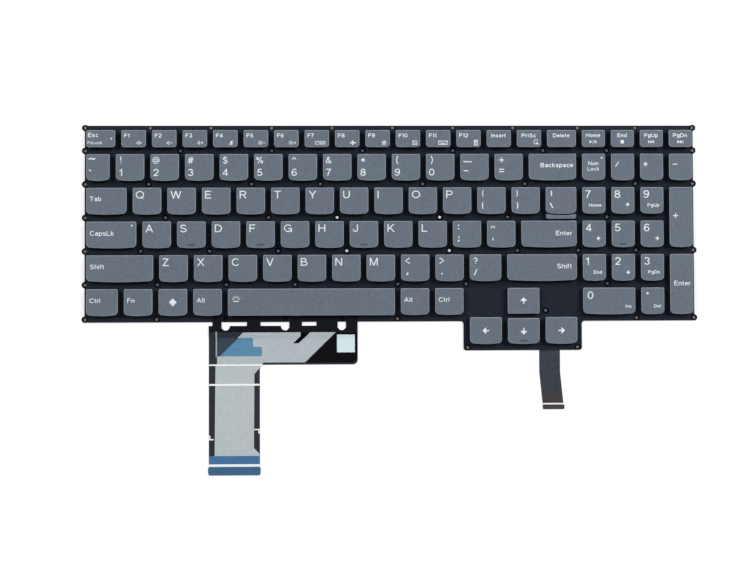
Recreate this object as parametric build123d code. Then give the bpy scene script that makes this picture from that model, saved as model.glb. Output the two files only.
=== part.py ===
from build123d import *
import os
from math import asin, atan2, degrees, hypot

# Keyboard module of a laptop: caps on rubber domes and scissor frames, over a printed film with a
# tail, a sheet-metal base with stake holes, and a backlight panel below it.
# X runs along the rows, Y away from the typist, Z up. The origin is the middle of the underside.

# Key field, seen from above
row_pitch = 18.1
key_gap = 3.05
row_gap = 3.5
main_width = 263.6
pad_pitch = 15.75
function_depth = 9.4
arrow_row_pitch = 15.75
arrow_trim = 0.55

# Keys with a width of their own
escape_width = 15.65
delete_width = 15.86
grave_width = 12.7
backspace_width = 25.85
tab_width = 21.75
caps_lock_width = 26.95
left_shift_width = 35.95
slash_width = 17.2
left_control_width = 17.1
space_width = 89.6

# Key caps
travel = 1.5
press_clearance = 0.3
cap_height = 2.0
cap_roof = 0.8
cap_wall = 1.0
cap_draft = 5.0
cap_bow = 0.7
cap_front_chamfer = 0.9
cap_back_chamfer = 0.4
lip_length = 2.6
lip_height = 1.2
lip_side_inset = 0.2

# Domes and scissor frames
frame_bar = 0.9
frame_thickness = 0.7
frame_clearance = 0.3
dome_taper = 18.0
dome_sides = 6
dome_wall_clearance = 0.3
seat_clearance = 0.1

# Sheets of the stack
panel_thickness = 0.35
plate_thickness = 0.4
film_thickness = 0.3
film_margin = 0.3
panel_margin = 0.2

# Base plate
plate_side_margin = 1.6
plate_back_margin = 2.95
plate_front_margin = 3.4
arrow_margin = 3.1
arrow_corner_radius = 1.5
stake_radius = 0.8
stake_back_wall = 0.4
stake_front_wall = 0.85
stake_side_inset = 0.25
round_sides = 8
lug_wall = 0.95
film_hole_clearance = 0.8
stake_lift = 0.5

# Film tail
tail_width = 80.2
band_length = 5.4
band_step = 2.0
slot_depth = 2.0
first_slot_length = 13.6
second_slot_length = 15.4
third_slot_length = 7.7
lobe_radius = 2.2
lobe_reach = 4.4
lobe_inset = 9.12
second_lobe_pitch = 32.0
third_lobe_pitch = 30.5
third_slot_offset = 9.1
drop_length = 5.0
arm_length = 23.0
tail_corner_radius = 2.7
leg_width = 27.4
leg_length = 82.3
stiffener_length = 10.0
stiffener_thickness = 0.2
stiffener_overhang = 0.4

# Backlight tail
light_tail_inset = 8.8
light_tail_width = 11.3
light_tail_straight = 11.8
light_tail_lean = 2.0
light_tail_length = 32.0
light_tail_thickness = 0.2
light_stiffener_length = 9.0
light_stiffener_thickness = 0.15

# Levels of the stack
plate_bottom = panel_thickness
film_bottom = plate_bottom + plate_thickness
film_top = film_bottom + film_thickness
cap_bottom = film_top + travel + press_clearance
cap_top = cap_bottom + cap_height
pocket_roof = cap_top - cap_roof

# Sizes that follow from the key field. The keys between grave and backspace share the room there,
# and so do the function keys between escape and delete.
key_width = (main_width - grave_width - backspace_width - 13 * key_gap) / 12
function_width = (main_width - escape_width - delete_width - 15 * key_gap) / 14
key_depth = row_pitch - row_gap
pad_width = pad_pitch - key_gap
field_width = main_width + 4 * pad_pitch
field_depth = function_depth + row_gap + 4 * row_pitch + key_depth
field_left = -field_width / 2
pad_left = field_left + main_width + key_gap
plate_width = field_width + 2 * plate_side_margin
plate_depth = field_depth + plate_back_margin + plate_front_margin
plate_back = plate_depth / 2
plate_front = -plate_depth / 2
field_back = plate_back - plate_back_margin
number_back = field_back - function_depth - row_gap


def row_middle(row):
    """Y of the middle of a row. The number row is row 0 and the bottom row is row 4."""
    return number_back - row * row_pitch - key_depth / 2


def lay_row(widths, left=field_left):
    """Middle and width of each key of a row, laid from the left with the key gap between them."""
    keys = []
    for width in widths:
        keys.append((left + width / 2, width))
        left += width + key_gap
    return keys


def filled(widths):
    """Widths of a row whose last key runs to the right edge of the main block."""
    return widths + [main_width - sum(widths) - key_gap * len(widths)]


def gap_after(keys, index):
    """X of the middle of the gap on the right of a key."""
    middle, width = keys[index]
    return middle + width / 2 + key_gap / 2


function_row = lay_row([escape_width] + [function_width] * 14 + [delete_width])
number_row = lay_row([grave_width] + [key_width] * 12 + [backspace_width])
upper_row = lay_row(filled([tab_width] + [key_width] * 12))
home_row = lay_row(filled([caps_lock_width] + [key_width] * 11))
lower_row = lay_row(filled([left_shift_width] + [key_width] * 9 + [slash_width]))
bottom_row = lay_row([left_control_width] + [key_width] * 3 + [space_width] + [key_width] * 2)
pad_row = lay_row([pad_width] * 4, pad_left)

# The arrow keys share the room from the slash key to the right edge of the main block.
arrow_left = lower_row[10][0] - slash_width / 2
arrow_right = field_left + main_width
arrow_width = (arrow_right - arrow_left - 2 * key_gap) / 3
arrow_row = lay_row([arrow_width] * 3, arrow_left)
arrow_middle = row_middle(4) - arrow_row_pitch
arrow_front = arrow_middle - key_depth / 2 - plate_front_margin

upper_names = "tab q w e r t y u i o p left_bracket right_bracket backslash".split()
home_names = "caps_lock a s d f g h j k l semicolon quote enter".split()
lower_names = "left_shift z x c v b n m comma period slash right_shift".split()
bottom_names = "left_control function system left_alt space right_alt right_control".split()


def cap_plan(width, depth, bow):
    """Plan of a cap: corners cut small at the back and wider at the front, and a bowed front edge."""
    left, right = -width / 2, width / 2
    front, back = -depth / 2, depth / 2
    sides = Polyline((right, front + bow), (right, back), (left, back), (left, front + bow))
    if bow:
        edge = ThreePointArc((left, front + bow), (0, front), (right, front + bow))
    else:
        edge = Line((left, front), (right, front))
    plan = make_face(sides + edge)
    plan = chamfer(plan.vertices().group_by(Axis.Y)[0], cap_front_chamfer)
    return chamfer(plan.vertices().group_by(Axis.Y)[-1], cap_back_chamfer)


def cap_block(width, depth, bow=cap_bow, height=cap_height):
    """Drafted block of a cap, standing on its lower edge."""
    return extrude(cap_plan(width, depth, bow), height, taper=cap_draft)


def hollowed(block, width, bow):
    """The block with the pocket below that takes the dome and the scissor frames."""
    pocket = Box(width - 2 * cap_wall, key_depth - 2 * cap_wall - bow, 2 * (cap_height - cap_roof))
    return block - Pos(0, bow / 2, 0) * pocket


def sliding_cap(width, bow=cap_bow):
    """Hollow cap of a key that slides."""
    return hollowed(cap_block(width, key_depth, bow), width, bow)


def backslash_cap(width):
    """Cap with a low lip on its front edge, which fills the gap above the enter key."""
    lip_depth = key_depth / 2 + lip_length
    lip = cap_block(width - 2 * lip_side_inset, lip_depth, 0, lip_height)
    block = cap_block(width, key_depth) + Pos(0, -lip_depth / 2, 0) * lip
    return hollowed(block, width, cap_bow)


# The scissor frames are nested: each pair fits the pocket of a letter key.
pocket_width = key_width - 2 * cap_wall
pocket_depth = key_depth - 2 * cap_wall - cap_bow
frame_length = pocket_depth - 2 * frame_clearance
outer_frame_width = pocket_width - 2 * frame_clearance
inner_frame_width = outer_frame_width - 2 * frame_bar - 2 * frame_clearance
frame_rise = pocket_roof - film_top - 2 * seat_clearance
frame_tilt = degrees(
    asin(frame_rise / hypot(frame_length, frame_thickness)) - atan2(frame_thickness, frame_length)
)
dome_radius = inner_frame_width / 2 - frame_bar - dome_wall_clearance
tall_dome_height = pocket_roof - film_top - seat_clearance
short_dome_height = cap_bottom - film_top - seat_clearance
mechanism_middle = (film_top + pocket_roof) / 2


def scissor_frame(width):
    """Flat U-shaped frame about its own middle, closed at the back."""
    opening = Pos(0, -frame_bar) * Rectangle(width - 2 * frame_bar, frame_length)
    return extrude(Rectangle(width, frame_length) - opening, frame_thickness / 2, both=True)


outer_frame = Rot(frame_tilt, 0, 0) * scissor_frame(outer_frame_width)
inner_frame = Rot(0, 0, 180) * Rot(frame_tilt, 0, 0) * scissor_frame(inner_frame_width)


def rubber_dome(height):
    """Dome in a few flat sides, narrowing upwards from its seat."""
    return extrude(RegularPolygon(dome_radius, dome_sides), height, taper=dome_taper)


def at_height(shape, x, y, z=cap_bottom):
    """The shape at its place in the field, at the height of the caps' lower edges by default."""
    return Pos(x, y, z) * shape


# Keys that slide, each a piece of its own
sliding_keys = {}
mechanism_places = []
for names, keys, row in (
    (upper_names, upper_row, 1),
    (home_names, home_row, 2),
    (lower_names, lower_row, 3),
    (bottom_names, bottom_row, 4),
):
    for name, (middle, width) in zip(names, keys):
        if name == "backslash":
            cap = backslash_cap(width)
        elif name == "space":
            cap = sliding_cap(width, 0)
        else:
            cap = sliding_cap(width)
        sliding_keys["key_" + name] = at_height(cap, middle, row_middle(row))
        mechanism_places.append((middle, row_middle(row) + cap_bow / 2))

outer_frames = [at_height(outer_frame, x, y, mechanism_middle) for x, y in mechanism_places]
inner_frames = [at_height(inner_frame, x, y, mechanism_middle) for x, y in mechanism_places]
domes = [at_height(rubber_dome(tall_dome_height), x, y, film_top) for x, y in mechanism_places]

# Keys in groups: X, Y, width, depth and front bow of each
function_middle = field_back - function_depth / 2
function_keys = [(x, function_middle, width, function_depth, 0) for x, width in function_row + pad_row]
number_keys = [(x, row_middle(0), width, key_depth, cap_bow) for x, width in number_row]

pad_keys = [(x, row_middle(0), pad_width, key_depth, cap_bow) for x, width in pad_row]
for row in (1, 2, 3):
    pad_keys += [(x, row_middle(row), pad_width, key_depth, cap_bow) for x, width in pad_row[:3]]
for row in (1, 3):
    tall_middle = row_middle(row) - row_pitch / 2
    pad_keys.append((pad_row[3][0], tall_middle, pad_width, row_pitch + key_depth, cap_bow))
zero_middle = (pad_row[0][0] + pad_row[1][0]) / 2
pad_keys.append((zero_middle, row_middle(4), pad_pitch + pad_width, key_depth, cap_bow))
pad_keys.append((pad_row[2][0], row_middle(4), pad_width, key_depth, cap_bow))

up_middle = row_middle(4) + arrow_trim / 2
down_middle = arrow_middle - arrow_trim / 2
arrow_keys = [(x, arrow_middle, arrow_width, key_depth, cap_bow) for x, width in arrow_row[::2]]
arrow_keys.append((arrow_row[1][0], down_middle, arrow_width, key_depth - arrow_trim, cap_bow))
arrow_keys.append((arrow_row[1][0], up_middle, arrow_width, key_depth - arrow_trim, 0))


def key_group(keys):
    """Caps of a group, each over a dome of its own."""
    for x, y, width, depth, bow in keys:
        domes.append(at_height(rubber_dome(short_dome_height), x, y, film_top))
    return [at_height(cap_block(width, depth, bow), x, y) for x, y, width, depth, bow in keys]


function_caps = key_group(function_keys)
number_caps = key_group(number_keys)
pad_caps = key_group(pad_keys)
arrow_caps = key_group(arrow_keys)

# Stake holes of the base plate
side_x = plate_width / 2 - stake_side_inset
back_y = plate_back - stake_radius - stake_back_wall
front_y = plate_front + stake_radius + stake_front_wall
arrow_front_y = arrow_front + stake_radius + stake_front_wall


def gap_y(row):
    """Y of the stake holes in the gap behind a row."""
    return row_middle(row) + key_depth / 2 + row_gap / 2 + stake_lift


corner_stakes = [(x, y) for x in (-side_x, side_x) for y in (back_y, front_y)]
side_stakes = [(-side_x, gap_y(row)) for row in range(5)]
side_stakes += [(side_x, gap_y(row)) for row in (0, 1, 3)]

edge_stakes = [(gap_after(function_row, key), back_y) for key in (1, 3, 5, 7, 9, 11, 13, 15)]
edge_stakes += [(gap_after(pad_row, 1), y) for y in (back_y, front_y)]
edge_stakes += [(gap_after(bottom_row, key), front_y) for key in (1, 4)]
edge_stakes += [(x, arrow_front_y) for x in (arrow_left - stake_radius, arrow_right + stake_radius)]

# Stake holes between the rows, each in the gap after a key of the row behind it
inner_stakes = []
for keys, row, places, pad_places in (
    (function_row, 0, (2, 5, 8, 11, 14), (0,)),
    (number_row, 1, (1, 4, 6, 9, 12), (1,)),
    (upper_row, 2, (1, 4, 6, 9, 11), (0,)),
    (home_row, 3, (0, 2, 4, 6, 9, 11), (1,)),
    (lower_row, 4, (0, 2, 4, 7, 9), (0,)),
):
    inner_stakes += [(gap_after(keys, key), gap_y(row)) for key in places]
    inner_stakes += [(gap_after(pad_row, key), gap_y(row)) for key in pad_places]
inner_stakes.append((pad_left - key_gap / 2, gap_y(3)))
up_stake_x = arrow_row[2][0] - arrow_width / 2 + stake_radius
inner_stakes.append((up_stake_x, arrow_middle + key_depth / 2 + row_gap))

# Stake holes beside the film tail, which hangs by the gap on the left of the space key
tail_left = gap_after(bottom_row, 3) - lobe_inset
tail_right = tail_left + tail_width
first_lobe = tail_left + lobe_inset
second_lobe = first_lobe + second_lobe_pitch
lobe_places = [first_lobe, second_lobe, second_lobe + third_lobe_pitch]
edge_stakes += [(x, front_y) for x in lobe_places]


def sheet_plan(side, back, front, block):
    """Outline of a sheet: the key field and the arrow block, each with its own margin."""
    top = field_back + back
    bottom = row_middle(4) - key_depth / 2 - front
    lowest = arrow_middle - key_depth / 2 - front
    field = Pos(0, (top + bottom) / 2) * Rectangle(field_width + 2 * side, top - bottom)
    block_width = arrow_right - arrow_left + 2 * block
    block_x = (arrow_left + arrow_right) / 2
    return field + Pos(block_x, (top + lowest) / 2) * Rectangle(block_width, top - lowest)


def arrow_corners(plan):
    """The two outer and the two inner corners of the arrow block."""
    levels = plan.vertices().group_by(Axis.Y)
    return levels[0] + levels[1].sort_by(Axis.X)[1:-1]


def flat_sided(x, y, radius):
    """Round plan in a few flat sides, which a circle of the radius just fits."""
    turn = 180 / round_sides
    return Pos(x, y) * RegularPolygon(radius, round_sides, major_radius=False, rotation=turn)


# Base plate
lug_radius = stake_radius + lug_wall
lug_limit = Rectangle(plate_width + 4 * lug_radius, plate_depth)
plate_plan = sheet_plan(plate_side_margin, plate_back_margin, plate_front_margin, arrow_margin)
plate_plan = fillet(arrow_corners(plate_plan), arrow_corner_radius)
for x, y in corner_stakes + side_stakes:
    plate_plan += flat_sided(x, y, lug_radius) & lug_limit
for x, y in side_stakes + edge_stakes:
    plate_plan -= flat_sided(x, y, stake_radius)
for x, y in corner_stakes:
    plate_plan -= Pos(x, y) * Circle(stake_radius)
base_plate = Pos(0, 0, plate_bottom) * extrude(plate_plan, plate_thickness)

# Tail of the film: a band beside the plate, a drop to the table, a wide arm and a long leg
film_front = row_middle(4) - key_depth / 2 - film_margin
band_front = plate_front - band_length
drop_front = band_front - drop_length
arm_front = plate_front - arm_length
leg_front = plate_front - leg_length
leg_right = tail_left + leg_width
band_left = tail_left + band_step
step_back = plate_front - band_step

tail_outline = Polyline(
    (band_left, film_front),
    (band_left, step_back),
    (tail_left, step_back),
    (tail_left, leg_front),
    (leg_right, leg_front),
    (leg_right, arm_front),
    (tail_right, arm_front),
    (tail_right, film_front),
    close=True,
)
tail_plan = make_face(tail_outline)
tail_plan = fillet(tail_plan.vertices().group_by(Axis.Y)[1], tail_corner_radius)


def drop_curve(level):
    """Side view of one face of the tail as it comes down by the height of the film's seat."""
    middle = ((band_front + drop_front) / 2, level - film_bottom / 2)
    upper = TangentArc((band_front, level), middle, tangent=(-1, 0))
    return upper + TangentArc(middle, (drop_front, level - film_bottom), tangent=upper % 1)


tail_side = drop_curve(film_top) + drop_curve(film_bottom)
tail_side += Polyline((band_front, film_top), (film_front, film_top), (film_front, film_bottom))
tail_side += Line((film_front, film_bottom), (band_front, film_bottom))
tail_side += Polyline(
    (drop_front, film_thickness),
    (leg_front, film_thickness),
    (leg_front, 0),
    (drop_front, 0),
)
tail_run = extrude(Plane.YZ.offset(tail_left) * make_face(tail_side), tail_width, dir=(1, 0, 0))
tail = tail_run & extrude(tail_plan, film_top)

# Slots of the band beside the plate edge, with a lobe round each stake hole there
slot_y = plate_front - slot_depth / 2
slots = []
for x, length in (
    (first_lobe - lobe_radius + first_slot_length / 2, first_slot_length),
    (second_lobe + lobe_radius - second_slot_length / 2, second_slot_length),
    (second_lobe + third_slot_offset + third_slot_length / 2, third_slot_length),
):
    slots.append(Pos(x, slot_y) * Rectangle(length, slot_depth))
lobe_y = plate_front - lobe_reach + lobe_radius
lobe_back = front_y + stake_radius + film_hole_clearance
for x in lobe_places:
    slots.append(Pos(x, (lobe_back + lobe_y) / 2) * Rectangle(2 * lobe_radius, lobe_back - lobe_y))
    slots.append(flat_sided(x, lobe_y, lobe_radius))

film_plan = sheet_plan(film_margin, film_margin, film_margin, film_margin)
for x, y in inner_stakes:
    film_plan -= flat_sided(x, y, stake_radius + film_hole_clearance)
film = Pos(0, 0, film_bottom) * extrude(film_plan, film_thickness) + tail
film -= extrude(Sketch() + slots, film_top)

stiffener_plan = Pos((tail_left + leg_right) / 2, leg_front + stiffener_length / 2) * Rectangle(
    leg_width + 2 * stiffener_overhang, stiffener_length
)
tail_stiffener = Pos(0, 0, film_thickness) * extrude(stiffener_plan, stiffener_thickness)

# Backlight panel and its tail
panel_plan = sheet_plan(panel_margin, panel_margin, panel_margin, panel_margin)
backlight_panel = extrude(panel_plan, panel_thickness)
light_back = arrow_middle - key_depth / 2 - panel_margin
light_bend = arrow_front - light_tail_straight
light_front = arrow_front - light_tail_length
light_right = arrow_right - light_tail_inset
light_tail_left = light_right - light_tail_width
light_plan = make_face(
    Polyline(
        (light_tail_left, light_back),
        (light_tail_left, light_bend),
        (light_tail_left + light_tail_lean, light_front),
        (light_right + light_tail_lean, light_front),
        (light_right, light_bend),
        (light_right, light_back),
        close=True,
    )
)
backlight_tail = extrude(light_plan, light_tail_thickness)
light_end = Pos(light_tail_left, light_front) * Rectangle(
    2 * (light_tail_width + light_tail_lean), 2 * light_stiffener_length
)
backlight_tail_stiffener = Pos(0, 0, light_tail_thickness) * extrude(
    light_plan & light_end, light_stiffener_thickness
)

nodes = {
    "backlight_panel": backlight_panel,
    "backlight_tail": backlight_tail,
    "backlight_tail_stiffener": backlight_tail_stiffener,
    "base_plate": base_plate,
    "membrane": film,
    "tail_stiffener": tail_stiffener,
    "rubber_domes": Compound(children=domes),
    "scissor_outer_frames": Compound(children=outer_frames),
    "scissor_inner_frames": Compound(children=inner_frames),
    "function_row_keys": Compound(children=function_caps),
    "number_row_keys": Compound(children=number_caps),
    "number_pad_keys": Compound(children=pad_caps),
    "arrow_keys": Compound(children=arrow_caps),
}
nodes.update(sliding_keys)

os.makedirs("parts", exist_ok=True)
for name, shape in nodes.items():
    export_step(shape, "parts/" + name + ".step")
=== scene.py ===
from math import asin, atan2, cos, pi, radians, sin, sqrt

import bmesh
import bpy
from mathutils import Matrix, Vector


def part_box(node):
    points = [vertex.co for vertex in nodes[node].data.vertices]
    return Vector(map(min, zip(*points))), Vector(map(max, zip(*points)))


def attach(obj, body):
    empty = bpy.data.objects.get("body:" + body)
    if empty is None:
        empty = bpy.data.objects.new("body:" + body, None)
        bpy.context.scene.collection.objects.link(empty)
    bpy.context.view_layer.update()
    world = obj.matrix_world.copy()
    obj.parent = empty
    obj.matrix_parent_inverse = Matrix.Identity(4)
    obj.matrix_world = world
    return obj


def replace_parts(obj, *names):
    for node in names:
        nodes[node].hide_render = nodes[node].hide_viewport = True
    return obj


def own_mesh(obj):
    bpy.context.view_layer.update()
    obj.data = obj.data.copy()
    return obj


# Looks of a laptop keyboard module: printed caps, rubber domes and scissor frames, a staked film
# with a printed tail, a black base and a backlight tail. All sizes below are in millimetres.

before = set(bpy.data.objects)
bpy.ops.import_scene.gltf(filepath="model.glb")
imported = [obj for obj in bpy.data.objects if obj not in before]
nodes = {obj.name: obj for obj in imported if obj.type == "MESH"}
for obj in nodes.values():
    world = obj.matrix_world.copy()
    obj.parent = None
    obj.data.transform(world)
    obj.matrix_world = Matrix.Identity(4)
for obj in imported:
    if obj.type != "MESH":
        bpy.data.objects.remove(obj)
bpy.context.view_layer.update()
scene = bpy.context.scene
scene.view_settings.view_transform = "Standard"

# Levels and sizes that the solids also have
film_top = 1.05
film_seat = 0.75
film_thickness = 0.3
cap_wall = 1.0
cap_roof = 0.8
cap_bow = 0.7
frame_bar = 0.9
frame_thickness = 0.7
frame_clearance = 0.3
seat_clearance = 0.1
row_gap = 3.5
stake_lift = 0.5
stake_radius = 0.8
lug_radius = 1.75
plate_front_margin = 3.4
band_length = 5.4
drop_length = 5.0

# Sizes of the finish
front_corner = 2.3
back_corner = 0.75
front_steps = 10
edge_round = 0.46
wall_lean = 0.06
face_levels = [(0.54, 0.0), (0.9, 0.016), (1.5, 0.034), (2.5, 0.048), (3.7, 0.052)]
ink_lift = 0.012
ink_step = 0.003


# Colours and materials

def srgb(red, green, blue):
    """Linear colour of a tone that is seen as these 8-bit values."""
    def linear(value):
        value /= 255
        return value / 12.92 if value <= 0.04045 else ((value + 0.055) / 1.055) ** 2.4
    return (linear(red), linear(green), linear(blue), 1.0)


mid_grey = (0.5, 0.5, 0.5, 1.0)
dust_colour = srgb(150, 156, 164)
roughness_swing = 0.07
zone_blur = 0.0001


def feed(tree, socket, value):
    """Link a socket to another one, or set it to a number or colour."""
    if isinstance(value, (int, float, tuple)):
        socket.default_value = value
    else:
        tree.links.new(value, socket)


def add_node(tree, kind, **settings):
    """New node of the kind; settings are its properties, or the values of its named sockets."""
    made = tree.nodes.new(kind)
    for key, value in settings.items():
        if hasattr(made, key):
            setattr(made, key, value)
        else:
            made.inputs[key.replace("_", " ")].default_value = value
    return made


def math_node(tree, operation, *values):
    """Math node fed with sockets or numbers; returns its output."""
    made = add_node(tree, "ShaderNodeMath", operation=operation)
    for socket, value in zip(made.inputs, values):
        feed(tree, socket, value)
    return made.outputs[0]


def mix_colour(tree, factor, first, second):
    """Mix Color node fed with sockets or colours; returns its output."""
    made = add_node(tree, "ShaderNodeMix", data_type="RGBA")
    for index, value in ((0, factor), (6, first), (7, second)):
        feed(tree, made.inputs[index], value)
    return made.outputs[2]


def ranged(tree, value, low, high, new_low=0.0, new_high=1.0):
    """Map Range node, clamped; returns its output."""
    made = add_node(tree, "ShaderNodeMapRange", From_Min=low, From_Max=high, To_Min=new_low, To_Max=new_high)
    feed(tree, made.inputs["Value"], value)
    return made.outputs[0]


def surface_place(tree, kind="Object"):
    """Place on the surface in the row frame, or its normal."""
    return tree.nodes.new("ShaderNodeTexCoord").outputs[kind]


def split(tree, vector):
    """Outputs X, Y and Z of a vector."""
    made = tree.nodes.new("ShaderNodeSeparateXYZ")
    feed(tree, made.inputs[0], vector)
    return made.outputs


def noise(tree, scale, detail, roughness=0.5):
    """Noise over the surface, at a scale that is a number or a socket; returns its value."""
    made = add_node(tree, "ShaderNodeTexNoise", Detail=detail, Roughness=roughness)
    feed(tree, made.inputs["Vector"], surface_place(tree))
    feed(tree, made.inputs["Scale"], scale)
    return made.outputs["Fac"]


def new_group(name, inputs, outputs):
    """Shader node group with named sockets, and its input and output sockets; inputs come with their defaults."""
    group = bpy.data.node_groups.new(name, "ShaderNodeTree")

    def new_socket(socket_name, way, is_colour):
        kind = "NodeSocketColor" if is_colour else "NodeSocketFloat"
        return group.interface.new_socket(socket_name, in_out=way, socket_type=kind)

    for socket_name, default in inputs.items():
        new_socket(socket_name, "INPUT", isinstance(default, tuple)).default_value = default
    for socket_name in outputs:
        new_socket(socket_name, "OUTPUT", socket_name == "Colour")
    return group, group.nodes.new("NodeGroupInput").outputs, group.nodes.new("NodeGroupOutput").inputs


def build_grain():
    """Fine moulded grain: a colour that varies a little, a roughness mask and a height."""
    group, given, out = new_group("fine_grain", {"Colour": mid_grey, "Size": 0.0004, "Contrast": 0.1},
                                  ("Colour", "Mask", "Height"))
    scale = math_node(group, "DIVIDE", 1.0, given["Size"])
    heights = [noise(group, math_node(group, "MULTIPLY", scale, share), 3.0, 0.6) for share in (1.0, 0.45)]
    both = math_node(group, "MULTIPLY", math_node(group, "ADD", *heights), 0.5)
    swing = math_node(group, "MULTIPLY", math_node(group, "SUBTRACT", both, 0.5), given["Contrast"])
    bright = math_node(group, "ADD", math_node(group, "MULTIPLY", swing, 4.0), 1.0)
    tint = add_node(group, "ShaderNodeVectorMath", operation="SCALE")
    feed(group, tint.inputs[0], given["Colour"])
    feed(group, tint.inputs["Scale"], bright)
    feed(group, out["Colour"], tint.outputs[0])
    feed(group, out["Mask"], both)
    feed(group, out["Height"], heights[0])
    return group


def build_rim_highlight_wall_shade():
    """Lighter rim where a surface turns from the top to the side, a painted highlight that is patchy along it, and a
    darker wall below it, painted shade.
    """
    group, given, out = new_group(
        "rim_highlight_wall_shade", {"Face": mid_grey, "Rim": mid_grey, "Wall": mid_grey, "Amount": 0.6}, ("Colour",))
    upward = split(group, surface_place(group, "Normal"))["Z"]
    highlight_patches = ranged(group, noise(group, 260.0, 2.0), 0.25, 0.7, 0.55, 1.0)
    rim_highlight = math_node(group, "MULTIPLY", ranged(group, upward, 0.998, 0.9), highlight_patches)
    rim_highlight = math_node(group, "MULTIPLY", rim_highlight, given["Amount"])
    face = mix_colour(group, rim_highlight, given["Face"], given["Rim"])
    feed(group, out["Colour"], mix_colour(group, ranged(group, upward, 0.62, 0.2), face, given["Wall"]))
    return group


def build_dust():
    """Sparse pale specks over a colour."""
    group, given, out = new_group("dust", {"Colour": mid_grey, "Speck": mid_grey, "Amount": 0.4}, ("Colour",))
    cells = add_node(group, "ShaderNodeTexVoronoi", Scale=420.0)
    feed(group, cells.inputs["Vector"], surface_place(group))
    specks = ranged(group, cells.outputs["Distance"], 0.13, 0.07)
    where = ranged(group, noise(group, 45.0, 2.0), 0.6, 0.72)
    mask = math_node(group, "MULTIPLY", math_node(group, "MULTIPLY", specks, where), given["Amount"])
    feed(group, out["Colour"], mix_colour(group, mask, given["Colour"], given["Speck"]))
    return group


def build_traces():
    """Fine printed lines side by side at an angle."""
    group, given, out = new_group(
        "printed_traces", {"Field": mid_grey, "Line": mid_grey, "Angle": 0.0, "Pitch": 0.0006}, ("Colour",))
    place = split(group, surface_place(group))
    along_x = math_node(group, "MULTIPLY", place["X"], math_node(group, "COSINE", given["Angle"]))
    along_y = math_node(group, "MULTIPLY", place["Y"], math_node(group, "SINE", given["Angle"]))
    turns = math_node(group, "DIVIDE", math_node(group, "ADD", along_x, along_y), given["Pitch"])
    wave = math_node(group, "SINE", math_node(group, "MULTIPLY", turns, 2 * pi))
    feed(group, out["Colour"], mix_colour(group, ranged(group, wave, 0.1, 0.9), given["Field"], given["Line"]))
    return group


grain = build_grain()
rim_highlight_wall_shade = build_rim_highlight_wall_shade()
dust = build_dust()
traces = build_traces()


def place_group(tree, group, **values):
    """The group as a node of the tree, with its sockets fed; returns its outputs."""
    made = add_node(tree, "ShaderNodeGroup", node_tree=group)
    for key, value in values.items():
        feed(tree, made.inputs[key], value)
    return made.outputs


def new_material(name):
    """Material with its node tree and the inputs of its shader."""
    material = bpy.data.materials.new(name)
    material.use_nodes = True
    return material, material.node_tree, material.node_tree.nodes["Principled BSDF"].inputs


def finish_material(name, colour, grain_size, contrast, roughness, bump, specular=0.2, rim=None, wall=None,
                    highlight_amount=0.6, specks=0.0, lines=None, zones=(), sheen=0.0):
    """Material from the shared groups: grain and bump always, and a painted rim highlight with painted wall shade,
    specks, printed lines or zones if given.
    A zone's colour holds in front of a level along Y, and left of a level along X."""
    material, tree, shader = new_material(name)
    base = colour
    if lines:
        line_colour, angle, pitch = lines
        base = place_group(tree, traces, Field=colour, Line=line_colour, Angle=angle, Pitch=pitch)["Colour"]
    if zones:
        place = split(tree, surface_place(tree))
        for level, limit, zone_colour in zones:
            in_front = ranged(tree, place["Y"], level + zone_blur, level - zone_blur)
            on_left = ranged(tree, place["X"], limit + zone_blur, limit - zone_blur)
            base = mix_colour(tree, math_node(tree, "MULTIPLY", in_front, on_left), base, zone_colour)
    fine = place_group(tree, grain, Colour=base, Size=grain_size, Contrast=contrast)
    base = fine["Colour"]
    # rim is a painted highlight colour on the edges, wall a painted shade colour on the sides
    if rim:
        base = place_group(tree, rim_highlight_wall_shade, Face=base, Rim=rim, Wall=wall, Amount=highlight_amount)["Colour"]
    if specks:
        base = place_group(tree, dust, Colour=base, Amount=specks, Speck=dust_colour)["Colour"]
    rough = ranged(tree, fine["Mask"], 0.3, 0.7, roughness - roughness_swing, roughness + roughness_swing)
    raised = add_node(tree, "ShaderNodeBump", Strength=bump, Distance=grain_size * 0.3)
    feed(tree, raised.inputs["Height"], fine["Height"])
    feed(tree, shader["Base Color"], base)
    feed(tree, shader["Roughness"], rough)
    feed(tree, shader["Normal"], raised.outputs["Normal"])
    shader["Specular IOR Level"].default_value = specular
    shader["Sheen Weight"].default_value = sheen
    return material


# Cap rim colour: painted highlight on the rounded top edge; wall colour: painted shade on the cap's sides.
cap_paint = finish_material("cap_paint", srgb(105, 115, 127), 0.0005, 0.3, 0.6, 0.45, 0.1,
                            rim=srgb(172, 180, 190), wall=srgb(16, 18, 23), highlight_amount=0.9, specks=0.2)
# Homing bars are darker than the caps: painted shade of the raised bar.
homing_bar_painted_shade = finish_material("homing_bar_painted_shade", srgb(70, 77, 86), 0.0005, 0.12, 0.6, 0.3, 0.1)
legend_ink = finish_material("legend_ink", srgb(232, 240, 243), 0.0004, 0.06, 0.5, 0.15, 0.3)
lamp_dot = finish_material("lamp_dot", srgb(244, 249, 250), 0.0003, 0.03, 0.35, 0.1, 0.4)
# The base colour, behind the first zone, is a little darker than that zone: painted shade of the keys over the key
# field.
film_print = finish_material("film_print", srgb(33, 38, 47), 0.0008, 0.3, 0.55, 0.25, 0.02, specks=0.1,
                             zones=[(-0.0352, 1.0, srgb(37, 41, 50)), (-0.0495, -0.0175, srgb(22, 24, 31)),
                                    (-0.0586, -0.0175, srgb(49, 54, 62))])
# Plate rim colour: painted highlight on its edges; wall colour: painted shade on its sides.
plate_paint = finish_material("plate_paint", srgb(29, 34, 45), 0.0005, 0.3, 0.5, 0.4, 0.06,
                              rim=srgb(44, 46, 52), wall=srgb(16, 17, 20), highlight_amount=0.6, specks=0.1)
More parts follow.
